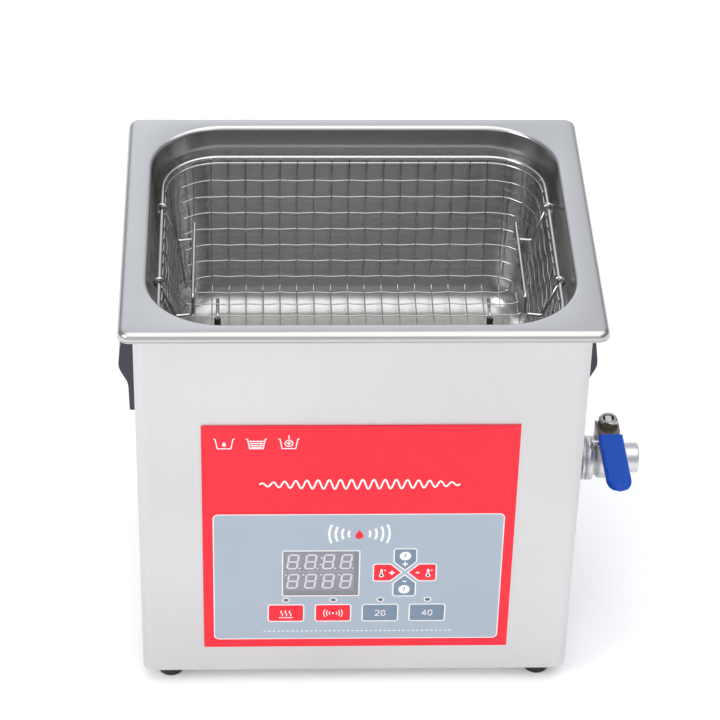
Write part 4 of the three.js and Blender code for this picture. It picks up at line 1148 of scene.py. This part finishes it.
def wall_reach(across, z, along_x):
    """How far out the wall is at a height, where a wire stands at a distance across it."""
    half_across, half_out, corner = basket_wall(z, along_x)
    into = max(abs(across) - (half_across - corner), 0)
    return half_out - corner + math.sqrt(max(corner ** 2 - into ** 2, 0))


def wave_sign(index):
    return 1 if index % 2 else -1


def wall_profile(station, along_x):
    """Points (distance out, height, crossing sign) down one wall, round its foot, to the floor."""
    points = [(wall_reach(station, MESH_TOP, along_x), MESH_TOP + 0.6, 0)]
    for i, z in enumerate(HEIGHTS):
        points.append((wall_reach(station, z + PITCH_Z / 2, along_x), z + PITCH_Z / 2, 0))
        points.append((wall_reach(station, z, along_x), z, wave_sign(i)))
    foot, fillet = wall_reach(station, MESH_LOW, along_x), MESH_LOW - MESH_FLOOR
    for i in range(1, 6):
        angle = i / 5 * math.pi / 2
        points.append((foot - fillet * (1 - math.cos(angle)), MESH_LOW - fillet * math.sin(angle), 0))
    return points


def with_middles(stations, crossings):
    """Stations with their crossing signs, and the uncrossed points half way between them."""
    marks = []
    for i, (s, crossing) in enumerate(zip(stations, crossings)):
        marks.append((s, crossing))
        if i < len(stations) - 1:
            marks.append(((s + stations[i + 1]) / 2, 0))
    return marks


def u_wire(station, index, along_x):
    """A wire down one wall, across the floor and up the other, waved over and under the rest."""
    sign = wave_sign(index)
    wall = [(out + crossing * sign * CRIMP, z) for out, z, crossing in wall_profile(station, along_x)]
    crossed = [s for s in (STATIONS_Y if along_x else STATIONS_X) if abs(s) < wall[-1][0] - 1]
    over = [wave_sign(i) * sign * (1 if along_x else -1) for i in range(len(crossed))]
    floor = [(s, MESH_FLOOR + CRIMP * up) for s, up in with_middles(crossed, over)]
    path = [(-out, z) for out, z in wall] + floor + wall[::-1]
    return tube([Vector((station, a, z) if along_x else (a, station, z)) for a, z in path], WIRE, 6)


def level_wire(z, index, side, along_x):
    """A level wire across one wall; side is -1 or 1."""
    stations = STATIONS_X if along_x else STATIONS_Y
    half, _, corner = basket_wall(z, along_x)
    end = half - 0.3 * corner
    marks = with_middles(stations, [wave_sign(i) for i in range(len(stations))])
    path = []
    for s, crossing in [(-end, 0)] + marks + [(end, 0)]:
        out = side * (wall_reach(s, z, along_x) - crossing * wave_sign(index) * CRIMP)
        path.append(Vector((s, out, z) if along_x else (out, s, z)))
    return tube(path, WIRE, 6)


def make_basket_mesh():
    form = Form()
    for stations, along_x in ((STATIONS_X, True), (STATIONS_Y, False)):
        for i, station in enumerate(stations):
            form.add(u_wire(station, i, along_x))
    piece("basket_u_wires", form, WIRE_STEEL, BASKET, "basket_floor", sharp=80)
    for name, along_x, side in (("front", True, -1), ("back", True, 1),
                                ("left", False, -1), ("right", False, 1)):
        form = Form()
        for i, z in enumerate(HEIGHTS):
            form.add(level_wire(z, i, side, along_x))
        piece("basket_level_wires_" + name, form, WIRE_STEEL, BASKET, "basket_side_" + name,
              sharp=80)


def make_basket_rim():
    for name, half_x, half_y, corner, z, radius, node in (
            ("rim", *BASKET_RIM, RIM_DEPTH, 1.5, "basket_rim"),
            ("hem", 134.9, 107.6, 38.0, RIM_DEPTH - 3.6, 0.8, None)):
        ring = tube(level(half_x, half_y, corner, z, 14), radius, 14, closed=True)
        piece("basket_wire_" + name, ring, WIRE_STEEL, BASKET, node, sharp=80)


def make_bail(side):
    """A swinging handle, drawn on the left: eyes of two turns round the rim, legs and a grip."""
    half, radius, turn_radius = 45.0, 1.2, 3.1
    rim_x, rim_z = -BASKET_RIM[0], RIM_DEPTH

    def eye(sign):
        turns = arc(turn_radius, 300, -132, 24, rim_x, rim_z)
        return [Vector((x, sign * (half - 0.14 * i + 1.2), z)) for i, (x, z) in enumerate(turns)]

    def leg(sign):
        return [Vector((-126.5, sign * half, rim_z - 28.5)), Vector((-114, sign * half, rim_z - 27)),
                Vector((-114, sign * half, rim_z - 11.5))]

    back, front = eye(1), eye(-1)
    route = [back[0]] + leg(1) + leg(-1)[::-1] + [front[0]]
    middle_part = bend(route, 3.4, 8)[1:-1]
    form = tube(back[::-1] + middle_part + front, radius, 12)
    if side == "right":
        form = form.mirrored()
    body = "basket_handle_" + side
    piece("bail_" + side, form, WIRE_STEEL, body, body, sharp=80)


def make_basket_feet():
    """Pins that lie under the floor wires and bend down into rubber tips."""
    for corner_name in CORNERS:
        low, high = span("basket_foot_" + corner_name)
        x, top = (low.x + high.x) / 2, high.z - 1.4
        tip_at = middle("basket_tip_" + corner_name)
        z = span("basket_tip_" + corner_name)[0].z
        reach = low.y + 0.1 if corner_name.startswith("front") else high.y - 0.1
        path = bend([(x, reach, top), (x, tip_at.y, top), (x, tip_at.y, z + 5)], 2.6)
        piece("basket_pin_" + corner_name, tube(path, 1.4, 16), WIRE_STEEL, BASKET,
              "basket_foot_" + corner_name, sharp=80)
        tip = lathe([(0.01, z), (1.8, z), (2.25, z + 0.25), (2.45, z + 0.9), (2.45, z + 14.6),
                     (2.2, z + 15.1), (1.6, z + 15.2), (1.4, z + 14.8), (0.01, z + 14.8)], "z", tip_at.xy, 28)
        piece("rubber_tip_" + corner_name, tip, RUBBER, BASKET, "basket_tip_" + corner_name,
              sharp=45)


make_basket_mesh()
make_basket_rim()
make_bail("left")
make_bail("right")
make_basket_feet()

# ---------- back of the machine ----------
GUARD_REACH = 48.6
GUARD_WIRE = 0.8


def screw(x, z, out, radius):
    """A pan head with a cross recess, on the back wall."""
    y = CASE[1] + out
    arm = radius * 0.55
    head = lathe([(0.01, y), (radius, y), (radius, y + 0.7), (radius * 0.86, y + 1.5),
                  (radius * 0.5, y + 2.0), (0.01, y + 2.1)], "y", (z, x), 32)
    return cut(solid("screw", head), *(block(x - a, x + a, y + 0.9, y + 3, z - b, z + b)
                                       for a, b in ((arm, 0.45), (0.45, arm))))


def make_fan_guard():
    fan = middle("fan_guard")
    y = CASE[1] + 1.1

    def ring(radius, steps, x, y, z):
        return tube([Vector((a, y, b)) for a, b in circle(radius, steps, x, z)], GUARD_WIRE, 10, closed=True)

    form = Form()
    for radius in (10, 19, 28, 37):
        form.add(ring(radius, 60, fan.x, y, fan.z))
    corners = circle(GUARD_REACH, 8, fan.x, fan.z)[1::2]
    for x, z in corners:
        arm = [Vector((fan.x + (x - fan.x) * r, y + 0.4, fan.z + (z - fan.z) * r))
               for r in (reach / GUARD_REACH for reach in (6, 20, 40, 46))]
        form.add(tube(arm, GUARD_WIRE, 10))
        form.add(ring(2.6, 24, x, y + 0.4, z))
    piece("guard_wires", form, GUARD, MACHINE, "fan_guard", sharp=80)
    for i, (x, z) in enumerate(corners):
        piece(f"guard_screw_{i + 1}", screw(x, z, 0.9, 2.3), CAST_STEEL, MACHINE, sharp=35)


def make_rotor():
    rotor = middle("fan_rotor")
    low, high = span("fan_rotor")
    hub = lathe([(1.8, low.y), (14.2, low.y), (15, low.y + 0.8), (15, high.y - 1.4), (13.6, high.y),
                 (1.8, high.y)], "y", (rotor.z, rotor.x), 48, looped=True)
    section = ((-0.5, 0.3), (-0.25, 0.6), (0, 0.7), (0.25, 0.6),
               (0.5, 0.3), (0.25, -0.6), (0, -0.7), (-0.25, -0.6))
    rings = []
    for k in range(7):
        r = 14 + 22 * k / 6
        twist = Matrix.Rotation(math.radians(52 - 24 * k / 6), 2)
        chord = 15 + 5 * k / 6
        row = [twist @ Vector((across * chord, thick)) for across, thick in section]
        rings.append([Vector((r * math.sin(p.x / r), p.y * 0.78, r * math.cos(p.x / r))) for p in row])
    for i in range(7):
        hub.add(loft(rings).turned("Y", i / 7 * 360).moved(rotor.x, rotor.y, rotor.z))
    piece("rotor_blades", hub, BLACK, "fan_rotor", "fan_rotor", sharp=50)


make_fan_guard()
make_rotor()
for node, material, slot, edge in (
        ("base_plate", PLAIN_STEEL, "case_steel", 0.2), ("power_inlet", BLACK, "black_plastic", 0.5),
        ("switch_housing", BLACK, "black_plastic", 0.4), ("fan_frame", BLACK, "black_plastic", 0.4),
        ("heatsink", ALUMINIUM, "aluminium", 0.2)):
    dressed(node, material, edge=edge)
dressed("power_rocker", ROCKER, "power_rocker", 0.5)

# ---------- hidden pieces keep their CAD shape ----------
HIDDEN = [("control_board", BOARD), ("generator_board", BOARD), ("heater_pad", HEATER),
          ("drain_elbow", CAST_STEEL), ("valve_ball", VALVE_STEEL)]
for node, material in HIDDEN + [("transducer_" + name, ALUMINIUM) for name in CORNERS]:
    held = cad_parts[node]
    for material_slot in held.material_slots:
        material_slot.material = material
